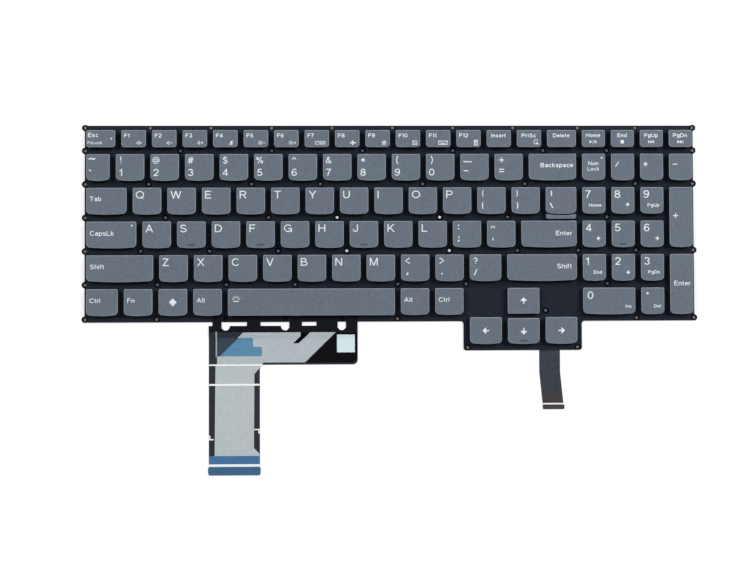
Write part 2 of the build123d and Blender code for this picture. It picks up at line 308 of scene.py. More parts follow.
# Near black: painted shade in the stake funnels, the edge holes' rings and walls, the closed hole ends at the lobes and
# the web below the lip's groove; the tail's notch patch uses it too.
recess_black = finish_material("recess_black", srgb(5, 6, 9), 0.0006, 0.25, 0.5, 0.2, 0.02)
# Discs that close the stake holes, painted as the view through them: grey for the shade beneath, tan for the table in
# shade, white for light coming through.
painted_hole_shade_grey = finish_material("painted_hole_shade_grey", srgb(92, 94, 99), 0.0003, 0.4, 0.45, 0.3, 0.2)
painted_shaded_table_tan = finish_material("painted_shaded_table_tan", srgb(126, 114, 102), 0.0003, 0.5, 0.55, 0.3, 0.15)
painted_hole_light_white = finish_material("painted_hole_light_white", srgb(236, 238, 242), 0.0003, 0.08, 0.4, 0.2, 0.4)
silver_leg = finish_material("silver_leg", srgb(194, 203, 206), 0.0014, 0.1, 0.42, 0.15, 0.2,
                             lines=(srgb(180, 189, 193), 0.0, 0.0008))
silver_arm = finish_material("silver_arm", srgb(188, 197, 202), 0.0014, 0.1, 0.42, 0.15, 0.2,
                             lines=(srgb(172, 181, 187), pi / 2, 0.0009))
silver_slant = finish_material("silver_slant", srgb(194, 203, 207), 0.0014, 0.1, 0.42, 0.15, 0.2,
                               lines=(srgb(160, 169, 175), -pi / 4, 0.00085))
tail_black = finish_material("tail_black", srgb(9, 9, 12), 0.0010, 0.25, 0.3, 0.12, 0.05)
patch_blue = finish_material("patch_blue", srgb(98, 146, 178), 0.0010, 0.14, 0.4, 0.15, 0.15,
                             lines=(srgb(82, 130, 164), -pi / 4, 0.00085))
patch_navy = finish_material("patch_navy", srgb(54, 67, 83), 0.0010, 0.15, 0.4, 0.15, 0.12)
line_white = finish_material("line_white", srgb(250, 255, 255), 0.0006, 0.05, 0.45, 0.12, 0.3)
line_grey = finish_material("line_grey", srgb(164, 166, 168), 0.0005, 0.14, 0.4, 0.15, 0.4)
sticker_paper = finish_material("sticker_paper", srgb(218, 240, 244), 0.0003, 0.06, 0.65, 0.3, 0.2)
# Stiffener rim colour: painted highlight on its edges; wall colour: painted shade on its sides.
stiffener_blue = finish_material("stiffener_blue", srgb(71, 116, 163), 0.0010, 0.16, 0.36, 0.15, 0.15,
                                 rim=srgb(92, 132, 170), wall=srgb(44, 74, 108), highlight_amount=0.5)
stiffener_deep = finish_material("stiffener_deep", srgb(65, 104, 141), 0.0010, 0.16, 0.34, 0.15, 0.15)
slate_film = finish_material("slate_film", srgb(56, 63, 72), 0.0012, 0.4, 0.5, 0.3, 0.1, specks=0.15)
brown_film = finish_material("brown_film", srgb(65, 58, 61), 0.0009, 0.25, 0.42, 0.2, 0.12)
brown_end = finish_material("brown_end", srgb(44, 37, 40), 0.0009, 0.3, 0.36, 0.2, 0.12)
brown_tip = finish_material("brown_tip", srgb(71, 64, 67), 0.0009, 0.3, 0.36, 0.2, 0.12)
dome_rubber = finish_material("dome_rubber", srgb(186, 189, 190), 0.0006, 0.06, 0.55, 0.2, 0.3, sheen=0.1)
frame_moulding = finish_material("frame_moulding", srgb(206, 207, 205), 0.0005, 0.06, 0.45, 0.2, 0.4)
panel_white = finish_material("panel_white", srgb(214, 217, 219), 0.0007, 0.06, 0.4, 0.2, 0.45)


# Mesh building

def put(name, data):
    """New object in the scene."""
    made = bpy.data.objects.new(name, data)
    scene.collection.objects.link(made)
    return made


def box_in_mm(node):
    """Lowest and highest corner of a solid."""
    return [[value * 1000 for value in end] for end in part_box(node)]


class Form:
    """Points in millimetres and faces, each face with the number of its paint."""

    def __init__(self):
        self.points = []
        self.faces = []
        self.paints = []

    def add(self, points, faces, paint=0):
        first = len(self.points)
        self.points += points
        self.faces += [tuple(first + index for index in face) for face in faces]
        self.paints += [paint] * len(faces)

    def piece(self, name, paints, body, slot, sharp=35):
        """The finished object, in the row frame, riding on its body."""
        mesh = bpy.data.meshes.new(name)
        mesh.from_pydata([(x / 1000, y / 1000, z / 1000) for x, y, z in self.points], [], self.faces)
        for paint in paints:
            mesh.materials.append(paint)
        mesh.polygons.foreach_set("material_index", self.paints)
        mesh.polygons.foreach_set("use_smooth", [True] * len(self.faces))
        mesh.set_sharp_from_angle(angle=radians(sharp))
        mesh.update()
        made = put(name, mesh)
        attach(made, body)
        return made


def lofted(rings):
    """Points and faces of a closed skin through rings of equal length, capped at both ends."""
    points = [point for ring in rings for point in ring]
    count = len(rings[0])
    faces = [tuple(reversed(range(count)))]
    for ring in range(len(rings) - 1):
        low, high = ring * count, (ring + 1) * count
        for index in range(count):
            after = (index + 1) % count
            faces.append((low + index, low + after, high + after, high + index))
    faces.append(tuple(range((len(rings) - 1) * count, len(rings) * count)))
    return points, faces


def corner(x, y, radius, start, end, steps=5):
    """Points of an arc, from one angle to another in degrees."""
    angles = [radians(start + (end - start) * step / steps) for step in range(steps + 1)]
    return [(x + radius * cos(angle), y + radius * sin(angle)) for angle in angles]


def circle(radius, steps=24):
    return corner(0, 0, radius, 0, 360 - 360 / steps, steps - 1)


def ring_at(plan, x, y, level):
    """A plan's points moved to a place and set at a level."""
    return [(x + px, y + py, level) for px, py in plan]


def cap_outline(width, depth, bow, inset, front=front_corner):
    """Plan of a cap about its middle, moved inwards by the inset: rounded corners and a bowed front."""
    side = width / 2 - inset
    back = depth / 2 - inset
    limit = 0.45 * min(width, depth)
    back_round = max(min(back_corner, limit) - inset, 0.05)
    front_round = max(min(front, limit) - inset, 0.05)
    points = corner(side - back_round, back - back_round, back_round, 0, 90)
    points += corner(back_round - side, back - back_round, back_round, 90, 180)
    reach = side - front_round
    if bow:
        radius = ((width / 2) ** 2 + bow ** 2) / (2 * bow)
        middle = radius - depth / 2
        radius -= inset
        level = middle - sqrt((radius - front_round) ** 2 - reach ** 2)
        lean = atan2(reach, middle - level) * 180 / pi
        edge = corner(0, middle, radius, 270 - lean, 270 + lean, front_steps)
    else:
        level = front_round + inset - depth / 2
        lean = 0
        edge = [(reach * (2 * step / front_steps - 1), inset - depth / 2) for step in range(front_steps + 1)]
    points += corner(-reach, level, front_round, 180, 270 - lean)
    points += edge[1:-1]
    points += corner(reach, level, front_round, 270 + lean, 360)
    return points


def face_drop(inset):
    """How far a cap's face lies below its rim at a distance from the edge."""
    for (near, drop), (far, deeper) in zip(face_levels, face_levels[1:]):
        if inset <= far:
            return drop + (deeper - drop) * max(0.0, inset - near) / (far - near)
    return face_levels[-1][1]


class Key:
    """Box of a cap in the row frame, in millimetres, with places counted from its left and back edges."""

    def __init__(self, low, high):
        self.low = [value * 1000 for value in low]
        self.high = [value * 1000 for value in high]
        self.bow = cap_bow
        self.front = front_corner
        self.width = self.high[0] - self.low[0]
        self.depth = self.high[1] - self.low[1]
        self.x = (self.low[0] + self.high[0]) / 2
        self.y = (self.low[1] + self.high[1]) / 2

    def face(self, x, y, lift=0.0):
        """Point on the cap's dished face."""
        front = self.low[1] + self.bow * (2 * (x - self.x) / self.width) ** 2
        inset = min(x - self.low[0], self.high[0] - x, self.high[1] - y, y - front)
        return (x, y, self.high[2] - face_drop(inset) + lift)


def add_cap(form, key, hollow):
    """Skin of a cap: pocket if hollow, lower rim, leaning wall, rounded edge and dished face."""
    bottom, top = key.low[2], key.high[2]
    start = wall_lean + edge_round
    levels = [(cap_wall, top - cap_roof), (cap_wall, bottom)] if hollow else []
    levels += [(0.12, bottom), (0.0, bottom + 0.14), (wall_lean, top - edge_round)]
    for step in range(1, 5):
        turn = radians(22.5 * step)
        levels.append((start - edge_round * cos(turn), top - edge_round * (1 - sin(turn))))
    levels += [(inset, top - drop) for inset, drop in face_levels[1:]]
    rings = []
    for inset, level in levels:
        rings.append(ring_at(cap_outline(key.width, key.depth, key.bow, inset, key.front), key.x, key.y, level))
    form.add(*lofted(rings))


def add_block(form, x, y, width, depth, levels, paint=0):
    """Skin of a low block with rounded corners; levels are insets and heights from its foot up."""
    rings = [ring_at(cap_outline(width, depth, 0, inset), x, y, level) for inset, level in levels]
    form.add(*lofted(rings), paint)


def solid_boxes(node):
    """Keys of a group, from its separate solids, row by row from the back and from the left."""
    skin = bmesh.new()
    skin.from_mesh(nodes[node].data)
    bmesh.ops.remove_doubles(skin, verts=skin.verts, dist=1e-6)
    left = set(skin.verts)
    keys = []
    while left:
        reached = [left.pop()]
        solid = []
        while reached:
            vert = reached.pop()
            solid.append(vert.co.copy())
            for edge in vert.link_edges:
                other = edge.other_vert(vert)
                if other in left:
                    left.remove(other)
                    reached.append(other)
        keys.append(Key([min(values) for values in zip(*solid)], [max(values) for values in zip(*solid)]))
    skin.free()
    return sorted(keys, key=lambda key: (-round(key.high[1] / 4), key.x))


# Print on the caps

line_weight = 0.125
word_weight = 0.148
label_weight = 0.178
small_weight = 0.182
thin_weight = 0.1
letter_height = 4.1
digit_height = 3.8
lamp_radius = 0.45


def arc(x, y, wide, high, start, end):
    """Points of a part of an ellipse, for the path of a stroke."""
    steps = max(3, round(abs(end - start) / 24))
    angles = [radians(start + (end - start) * step / steps) for step in range(steps + 1)]
    return [(x + wide * cos(angle), y + high * sin(angle)) for angle in angles]


def path(*parts):
    """One run of points from single points and arcs."""
    points = []
    for part in parts:
        points += part if isinstance(part, list) else [part]
    return points


def oval(x, y, wide, high):
    return arc(x, y, wide, high, 0, 360)


def line(*ends):
    return [(ends[0], ends[1]), (ends[2], ends[3])]


def bowl(x, top, bottom, wide):
    """Round part on the right of a stem."""
    middle, high = (top + bottom) / 2, (top - bottom) / 2
    return path((0.1, top), arc(x, middle, wide, high, 90, -90), (0.1, bottom))


def arch(left, right, shoulder):
    """Arched leg of a small letter."""
    middle, wide = (left + right) / 2, (right - left) / 2
    return path((left, shoulder), arc(middle, shoulder, wide, 0.67 - shoulder, 180, 0), (right, 0))


stem = line(0.1, 0, 0.1, 1)
low_stem = line(0.08, 0, 0.08, 0.73)
tall_stem = line(0.08, 0, 0.08, 1)
round_s = path(arc(0.43, 0.735, 0.3, 0.205, 20, 250), arc(0.43, 0.275, 0.335, 0.215, 75, -165))
brace = path((0.32, 1.05), (0.22, 1.02), (0.18, 0.9), (0.18, 0.6), (0.14, 0.47), (0.04, 0.42), (0.14, 0.37),
             (0.18, 0.24), (0.18, -0.06), (0.22, -0.18), (0.32, -0.21))
bracket = path((0.3, 1.0), (0.1, 1.0), (0.1, -0.2), (0.3, -0.2))
bow_left = path((0.32, 1.05), (0.19, 0.84), (0.12, 0.58), (0.12, 0.26), (0.19, 0.0), (0.32, -0.21))
angle_left = path((0.62, 0.88), (0.08, 0.5), (0.62, 0.12))
ampersand = path((0.8, 0), (0.27, 0.64), (0.24, 0.76), (0.28, 0.88), (0.38, 0.94), (0.48, 0.9), (0.52, 0.8), (0.48, 0.69),
                 (0.34, 0.58), (0.17, 0.45), (0.1, 0.3), (0.13, 0.14), (0.25, 0.06), (0.4, 0.06), (0.54, 0.13),
                 (0.66, 0.27), (0.72, 0.42))


def mirrored(run, span=0.4):
    return [(span - x, y) for x, y in run]


# Strokes of the signs, with capitals one unit high. A slanted stroke of two points has level ends.
letter_strokes = {
    "A": [line(0.06, 0, 0.44, 1), line(0.82, 0, 0.44, 1), line(0.2, 0.34, 0.68, 0.34)],
    "B": [stem, bowl(0.42, 0.94, 0.53, 0.25), bowl(0.48, 0.53, 0.06, 0.3)],
    "C": [arc(0.5, 0.5, 0.43, 0.44, 42, 318)],
    "D": [stem, bowl(0.42, 0.94, 0.06, 0.41)],
    "E": [stem, line(0.1, 0.94, 0.76, 0.94), line(0.1, 0.52, 0.7, 0.52), line(0.1, 0.06, 0.78, 0.06)],
    "F": [stem, line(0.1, 0.94, 0.74, 0.94), line(0.1, 0.5, 0.66, 0.5)],
    "G": [arc(0.5, 0.5, 0.43, 0.44, 42, 330), line(0.54, 0.46, 0.97, 0.46), line(0.91, 0, 0.91, 0.46)],
    "H": [stem, line(0.8, 0, 0.8, 1), line(0.1, 0.52, 0.8, 0.52)],
    "I": [stem],
    "J": [path((0.56, 1), arc(0.32, 0.3, 0.24, 0.24, 0, -180), (0.08, 0.36))],
    "K": [stem, line(0.1, 0.32, 0.76, 1), line(0.34, 0.55, 0.82, 0)],
    "L": [stem, line(0.1, 0.06, 0.7, 0.06)],
    "M": [stem, line(0.94, 0, 0.94, 1), line(0.12, 1, 0.52, 0), line(0.92, 1, 0.52, 0)],
    "N": [stem, line(0.8, 0, 0.8, 1), line(0.12, 1, 0.78, 0)],
    "O": [oval(0.5, 0.5, 0.44, 0.44)],
    "P": [stem, bowl(0.48, 0.94, 0.45, 0.27)],
    "Q": [oval(0.5, 0.5, 0.44, 0.44), path((0.58, 0.28), (0.9, -0.02))],
    "R": [stem, bowl(0.5, 0.94, 0.48, 0.26), line(0.5, 0.48, 0.78, 0)],
    "S": [round_s],
    "T": [line(0.42, 0, 0.42, 1), line(0.02, 0.94, 0.82, 0.94)],
    "U": [path((0.1, 1), arc(0.44, 0.37, 0.34, 0.31, 180, 360), (0.78, 1))],
    "V": [line(0.06, 1, 0.43, 0), line(0.8, 1, 0.43, 0)],
    "W": [line(0.06, 1, 0.35, 0), line(0.64, 1, 0.35, 0), line(0.64, 1, 0.93, 0), line(1.22, 1, 0.93, 0)],
    "X": [line(0.06, 0, 0.78, 1), line(0.8, 0, 0.08, 1)],
    "Y": [line(0.05, 1, 0.43, 0.42), line(0.81, 1, 0.43, 0.42), line(0.43, 0, 0.43, 0.45)],
    "Z": [line(0.06, 0.94, 0.76, 0.94), line(0.1, 0.06, 0.7, 0.94), line(0.04, 0.06, 0.79, 0.06)],
    "a": [path(arc(0.3, 0.48, 0.21, 0.19, 160, 0), (0.51, 0)),
          path((0.51, 0.42), arc(0.26, 0.225, 0.19, 0.17, 95, 275), (0.4, 0.08), (0.51, 0.2))],
    "b": [tall_stem, oval(0.34, 0.365, 0.26, 0.305)],
    "c": [arc(0.34, 0.365, 0.27, 0.305, 45, 315)],
    "d": [oval(0.34, 0.365, 0.26, 0.305), line(0.6, 0, 0.6, 1)],
    "e": [path((0.09, 0.37), arc(0.34, 0.365, 0.26, 0.305, 0, 315))],
    "f": [path((0.17, 0), (0.17, 0.78), arc(0.32, 0.79, 0.15, 0.15, 180, 100), (0.37, 0.94)),
          line(0.02, 0.67, 0.36, 0.67)],
    "g": [oval(0.33, 0.375, 0.25, 0.295), path((0.58, 0.73), arc(0.33, -0.02, 0.25, 0.2, 0, -160))],
    "h": [tall_stem, arch(0.08, 0.54, 0.45)],
    "i": [low_stem, line(0.08, 0.87, 0.08, 1)],
    "k": [tall_stem, line(0.1, 0.24, 0.5, 0.73), line(0.25, 0.44, 0.54, 0)],
    "l": [tall_stem],
    "m": [low_stem, arch(0.08, 0.44, 0.5), arch(0.44, 0.8, 0.5)],
    "n": [low_stem, arch(0.08, 0.54, 0.45)],
    "o": [oval(0.35, 0.365, 0.28, 0.305)],
    "p": [line(0.08, -0.27, 0.08, 0.73), oval(0.34, 0.365, 0.26, 0.305)],
    "r": [low_stem, path((0.08, 0.4), (0.13, 0.57), (0.22, 0.65), (0.36, 0.67))],
    "s": [path(arc(0.29, 0.525, 0.2, 0.145, 20, 250), arc(0.29, 0.21, 0.22, 0.15, 75, -165))],
    "t": [path((0.17, 0.93), (0.17, 0.18), (0.22, 0.08), (0.36, 0.06)), line(0.02, 0.67, 0.34, 0.67)],
    "u": [path((0.08, 0.73), arc(0.3, 0.28, 0.22, 0.22, 180, 360)), line(0.52, 0, 0.52, 0.73)],
    "0": [oval(0.36, 0.5, 0.29, 0.44)],
    "1": [line(0.36, 0, 0.36, 1), path((0.36, 0.94), (0.3, 0.82), (0.2, 0.76), (0.08, 0.74))],
    "2": [path((0.08, 0.68), arc(0.36, 0.69, 0.28, 0.25, 165, -25), (0.5, 0.42), (0.2, 0.2), (0.1, 0.06)),
          line(0.05, 0.06, 0.66, 0.06)],
    "3": [arc(0.35, 0.735, 0.25, 0.205, 160, -80), arc(0.35, 0.285, 0.29, 0.225, 80, -165)],
    "4": [line(0.52, 0, 0.52, 1), line(0.08, 0.28, 0.5, 0.97), line(0.03, 0.26, 0.7, 0.26)],
    "5": [line(0.18, 0.94, 0.62, 0.94), path((0.2, 0.96), (0.12, 0.46)), arc(0.35, 0.32, 0.29, 0.26, 135, -160)],
    "6": [oval(0.37, 0.31, 0.28, 0.25), arc(0.43, 0.48, 0.34, 0.46, 48, 200)],
    "7": [line(0.05, 0.94, 0.67, 0.94), path((0.63, 0.92), (0.42, 0.58), (0.3, 0.28), (0.26, 0))],
    "8": [oval(0.36, 0.735, 0.25, 0.205), oval(0.36, 0.285, 0.29, 0.225)],
    "9": [oval(0.35, 0.69, 0.28, 0.25), arc(0.29, 0.52, 0.34, 0.46, -132, 20)],
    "`": [path((0.02, 0.97), (0.26, 0.74))],
    "~": [path((0.0, 0.38), (0.07, 0.5), (0.19, 0.56), (0.34, 0.5), (0.5, 0.42), (0.63, 0.46), (0.7, 0.6))],
    "!": [line(0.1, 0.36, 0.1, 1), line(0.1, 0, 0.1, 0.15)],
    "@": [oval(0.52, 0.44, 0.2, 0.22), arc(0.52, 0.44, 0.46, 0.5, -40, 300),
          path((0.73, 0.66), (0.72, 0.3), (0.84, 0.22), (0.9, 0.16))],
    "#": [line(0.16, 0, 0.34, 1), line(0.44, 0, 0.62, 1), line(0.05, 0.66, 0.78, 0.66), line(0, 0.34, 0.73, 0.34)],
    "$": [round_s, line(0.43, -0.12, 0.43, 1.12)],
    "%": [oval(0.2, 0.76, 0.15, 0.18), oval(0.78, 0.24, 0.15, 0.18), line(0.24, 0, 0.74, 1)],
    "^": [line(0.04, 0.66, 0.32, 0.96), line(0.6, 0.66, 0.32, 0.96)],
    "&": [ampersand],
    "*": [path((0.3, 0.38), (0.3, 0.94)), path((0.05, 0.52), (0.55, 0.8)), path((0.05, 0.8), (0.55, 0.52))],
    "(": [bow_left],
    ")": [mirrored(bow_left)],
    "{": [brace],
    "}": [mirrored(brace)],
    "[": [bracket],
    "]": [mirrored(bracket)],
    "|": [stem],
    "\\": [line(0.06, 1, 0.5, 0)],
    "/": [line(0.06, 0, 0.5, 1)],
    ":": [line(0.1, 0.0, 0.1, 0.2), line(0.1, 0.5, 0.1, 0.7)],
    ";": [path((0.11, 0.2), (0.03, -0.1)), line(0.1, 0.5, 0.1, 0.7)],
    '"': [line(0.08, 0.66, 0.08, 1), line(0.4, 0.66, 0.4, 1)],
    "'": [line(0.08, 0.62, 0.08, 1)],
    "<": [angle_left],
    ">": [mirrored(angle_left, 0.7)],
    ",": [path((0.12, 0.18), (0.02, -0.14))],
    ".": [line(0.1, 0, 0.1, 0.19)],
    "?": [path(arc(0.33, 0.73, 0.26, 0.22, 170, -35), (0.38, 0.44), (0.34, 0.28)), line(0.34, 0, 0.34, 0.13)],
}
letter_gap = 0.15
letter_stretch = 1.09


def ribbon(run, width):
    """Flat stroke of even width along points; one slanted run of two points is cut level."""
    half = width / 2
    closed = abs(run[0][0] - run[-1][0]) + abs(run[0][1] - run[-1][1]) < 1e-6
    if len(run) == 2:
        (x0, y0), (x1, y1) = run
        rise, length = abs(y1 - y0), sqrt((x1 - x0) ** 2 + (y1 - y0) ** 2)
        if rise > 0.4 * length and rise > 0.4:
            reach = half * length / rise
            return patch((x0 - reach, y0), (x0 + reach, y0), (x1 + reach, y1), (x1 - reach, y1))
        return stroke(x0, y0, x1, y1, width)
    count = len(run) - 1 if closed else len(run)
    left, right = [], []
    for index in range(count):
        before = run[(index - 1) % count] if closed or index else run[0]
        after = run[(index + 1) % count] if closed or index < count - 1 else run[-1]
        dx, dy = after[0] - before[0], after[1] - before[1]
        length = sqrt(dx * dx + dy * dy)
        x, y = run[index]
        left.append((x - dy / length * half, y + dx / length * half))
        right.append((x + dy / length * half, y - dx / length * half))
    spans = range(count if closed else count - 1)
    faces = [(count + i, count + (i + 1) % count, (i + 1) % count, i) for i in spans]
    return left + right, faces


def text_shape(text, height, side="middle", own_middle=False, weight=line_weight):
    """Text with capitals of the height, set from its left, right or middle, and by its capitals' middle."""
    points, faces = [], []
    start = 0.0
    for letter_sign in text:
        drawn = joined(*[ribbon(run, weight) for run in letter_strokes[letter_sign]])
        left = min(x for x, y in drawn[0])
        points, faces = joined((points, faces), moved(drawn, start - left, 0))
        start = max(x for x, y in points) + letter_gap
    right = max(x for x, y in points)
    across = {"left": 0.0, "right": right, "middle": right / 2}[side]
    low, high = min(y for x, y in points), max(y for x, y in points)
    up = (low + high) / 2 if own_middle else 0.5
    return [((x - across) * height * letter_stretch, (y - up) * height) for x, y in points], faces


def joined(*shapes):
    """Several flat shapes as one."""
    points, faces = [], []
    for more_points, more_faces in shapes:
        first = len(points)
        points += more_points
        faces += [tuple(first + index for index in face) for face in more_faces]
    return points, faces


def moved(shape, x, y, turn=0, size=1.0):
    """The shape turned by degrees, sized and moved."""
    c, s = cos(radians(turn)) * size, sin(radians(turn)) * size
    return [(x + c * px - s * py, y + s * px + c * py) for px, py in shape[0]], shape[1]


def patch(*points):
    """One filled outline."""
    return list(points), [tuple(range(len(points)))]


def stroke(x0, y0, x1, y1, width):
    """Straight stroke with square ends."""
    length = sqrt((x1 - x0) ** 2 + (y1 - y0) ** 2)
    across, along = -(y1 - y0) / length * width / 2, (x1 - x0) / length * width / 2
    return patch((x0 - across, y0 - along), (x1 - across, y1 - along),
                 (x1 + across, y1 + along), (x0 + across, y0 + along))


def loop(outer, inner):
    """Band between two outlines of equal length."""
    count = len(outer)
    faces = [(i, (i + 1) % count, count + (i + 1) % count, count + i) for i in range(count)]
    return list(outer) + list(inner), faces


def hoop(radius, width, start=0, end=360, steps=20):
    """Ring, or a part of one, about the origin."""
    outer = corner(0, 0, radius + width / 2, start, end, steps)
    inner = corner(0, 0, radius - width / 2, start, end, steps)
    faces = [(i, i + 1, steps + 2 + i, steps + 1 + i) for i in range(steps)]
    return outer + inner, [tuple(reversed(face)) for face in faces]


def dot(radius, steps=16):
    """Filled disc about the origin."""
    return patch(*circle(radius, steps))


def pane(width, height, thick):
    """Outline of a rectangle about the origin."""
    def frame_points(w, h):
        return [(-w / 2, -h / 2), (w / 2, -h / 2), (w / 2, h / 2), (-w / 2, h / 2)]
    return loop(frame_points(width, height), frame_points(width - 2 * thick, height - 2 * thick))


def arrow_sign(turn, size, stem_length=0.45, stem_width=0.17):
    """Arrow with a broad head and a short stem, upwards before its turn."""
    head = patch((-0.5, -0.02), (0.5, -0.02), (0.0, 0.5))
    return moved(joined(head, stroke(0, -stem_length, 0, 0.0, stem_width)), 0, 0, turn, size)


def star_points(outer, inner):
    """Outline of a star with five points."""
    turns = enumerate([outer, inner] * 5)
    return [(reach * sin(radians(36 * turn)), reach * cos(radians(36 * turn))) for turn, reach in turns][::-1]


speaker_rim = [(-1.15, -0.45), (-0.65, -0.45), (0.1, -1.05), (0.1, 1.05), (-0.65, 0.45), (-1.15, 0.45)]
speaker_hollow = [(-0.93, -0.22), (-0.57, -0.22), (-0.12, -0.6), (-0.12, 0.6), (-0.57, 0.22), (-0.93, 0.22)]
minus_sign = stroke(-0.5, 0, 0.5, 0, 0.28)
plus_sign = joined(minus_sign, stroke(0, -0.5, 0, 0.5, 0.28))
thin_plus = joined(stroke(-0.5, 0, 0.5, 0, 0.17), stroke(0, -0.5, 0, 0.5, 0.17))
cross_sign = joined(stroke(-0.42, -0.5, 0.42, 0.5, 0.26), stroke(-0.42, 0.5, 0.42, -0.5, 0.26))
sun_rays = [moved(stroke(0.98, 0, 1.3, 0, 0.2), 0, 0, 45 * ray) for ray in range(8)]
sun = joined(hoop(0.62, 0.3), *sun_rays)
microphone = joined(
    patch(*(corner(0, 0.45, 0.36, 0, 180) + corner(0, -0.1, 0.36, 180, 360))),
    moved(hoop(0.72, 0.2, 200, 340, 10), 0, 0.05), stroke(0, -1.1, 0, -0.6, 0.22),
    stroke(-0.95, -0.95, 0.95, 0.95, 0.24),
)
screens = joined(moved(pane(1.75, 1.35, 0.22), -1.3, 0), stroke(0, -0.95, 0, 0.95, 0.2),
                 moved(pane(1.55, 1.35, 0.22), 1.2, 0), stroke(0.75, -0.35, 1.7, 0.4, 0.22))
aeroplane_side = [(1.3, 0), (0.95, 0.2), (0.3, 0.22), (-0.35, 1.05), (-0.7, 1.05), (-0.35, 0.22), (-0.85, 0.2),
                  (-1.1, 0.5), (-1.35, 0.5), (-1.2, 0)]
aeroplane = patch(*(aeroplane_side + [(x, -y) for x, y in aeroplane_side[-2:0:-1]])[::-1])
star = loop(star_points(1.3, 0.58), star_points(0.62, 0.25))
touch_pad = joined(pane(2.1, 1.9, 0.24), stroke(-0.9, 0.85, 0.9, -0.85, 0.24),
                   stroke(-0.35, -0.35, -0.35, -0.9, 0.2))
key_field = joined(pane(3.4, 1.5, 0.22), *[moved(dot(0.17, 8), x, 0.25) for x in (-1.1, -0.4, 0.4, 1.1)],
                   stroke(-0.9, -0.3, 0.9, -0.3, 0.24))
adder = joined(pane(1.6, 2.3, 0.24), stroke(-0.5, 0.62, 0.5, 0.62, 0.42),
               *[moved(dot(0.19, 8), x, y) for x in (-0.35, 0.35) for y in (0.0, -0.6)])
snip = joined(*[hoop(1.0, 0.34, turn, turn + 42, 5) for turn in (40, 100, 160, 220)],
              patch((-0.1, 0.1), (0.25, -1.25), (0.55, -0.7), (1.2, -0.75)), stroke(0.45, -0.55, 1.0, -1.2, 0.26))
play = patch((-0.55, -0.75), (0.65, 0), (-0.55, 0.75))
pause = joined(stroke(-0.32, -0.7, -0.32, 0.7, 0.34), stroke(0.32, -0.7, 0.32, 0.7, 0.34))
play_pause = joined(moved(play, -1.15, 0), stroke(-0.35, -0.75, 0.2, 0.75, 0.2), moved(pause, 1.0, 0, 0, 0.9))
stop = patch((-0.75, -0.75), (0.75, -0.75), (0.75, 0.75), (-0.75, 0.75))
skip_on = joined(moved(play, -0.75, 0, 0, 0.95), moved(play, 0.45, 0, 0, 0.95),
                 stroke(1.25, -0.72, 1.25, 0.72, 0.3))
skip_back = moved(skip_on, 0, 0, 180)
light_rays = [stroke(1.15 * cos(turn), 1.15 * sin(turn), 2.35 * cos(turn), 2.35 * sin(turn), 0.32)
              for turn in map(radians, (22, 56, 90, 124, 158))]
key_light = joined(stroke(-1.5, -0.55, 1.5, -0.55, 0.45), *[moved(ray, 0, 0.05) for ray in light_rays])
diamond = patch((-2.1, 0), (0, -2.1), (2.1, 0), (0, 2.1))


def letter(text, left=1.8, back=3.85):
    return [(text_shape(text, letter_height, "left"), left, back)]


def pair(upper, lower, height=3.45, across=3.1, upper_back=3.4, lower_back=9.95, weight=line_weight,
         lower_weight=None):
    """Shifted sign above the plain one, both by their own middles; a digit is a little larger."""
    signs = []
    for text, back, stroke_weight in ((upper, upper_back, weight), (lower, lower_back, lower_weight or weight)):
        size = digit_height if text.isdigit() else height
        signs.append((text_shape(text, size, "middle", not text.isdigit(), stroke_weight), across, back))
    return signs


def word(text, across, back=6.2, side="left", height=2.4, weight=word_weight):
    return [(text_shape(text, height, side, weight=weight), across, back)]


def small_word(text, across, back):
    """Small word in the front right corner of a pad key."""
    return word(text, across, back, "right", 1.68, small_weight)


def sign(shape, across, back, size=1.0):
    return [(moved(shape, 0, 0, 0, size), across, back)]


def ink_lifts(count, faces):
    """Lift of each point, a little more for each stroke and along it: no two layers of ink share a level."""
    stroke_starts = [0]
    reach = -1
    for face in faces:
        if reach >= 0 and min(face) > reach:
            stroke_starts.append(min(face))
        reach = max(reach, max(face))
    lifts = []
    layer = -1
    for index in range(count):
        if layer + 1 < len(stroke_starts) and index >= stroke_starts[layer + 1]:
            layer += 1
        lifts.append(ink_lift + ink_step * (layer % 8 + 0.02 * (index - stroke_starts[layer])))
    return lifts


def add_legend(form, key, marks, paint=0):
    """Marks of a cap. Places are counted from its left edge, or its right edge if negative, and from its back."""
    for (points, faces), across, back in marks:
        x = key.high[0] + across if across < 0 else key.low[0] + across
        y = key.high[1] - back
        lifts = ink_lifts(len(points), faces)
        form.add([key.face(x + px, y + py, lift) for (px, py), lift in zip(points, lifts)], faces, paint)


def add_homing_bar(form, key, paint):
    """Low raised bar near the front edge, darker than the cap: painted shade of the raised bar."""
    top = key.high[2]
    levels = [(0.0, top - 0.08), (0.0, top + 0.02), (0.08, top + 0.08), (0.2, top + 0.1)]
    add_block(form, key.x, key.low[1] + 1.9, 3.9, 0.7, levels, paint)


# Keys that slide

sliding_rows = [
    "tab q w e r t y u i o p left_bracket right_bracket backslash".split(),
    "caps_lock a s d f g h j k l semicolon quote enter".split(),
    "left_shift z x c v b n m comma period slash right_shift".split(),
    "left_control function system left_alt space right_alt right_control".split(),
]
sliding = {name: Key(*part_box("key_" + name)) for row in sliding_rows for name in row}
sliding["space"].bow = 0
sliding["space"].front = 1.1
key_depth = sliding["q"].depth
cap_bottom = sliding["q"].low[2]
cap_top = sliding["q"].high[2]

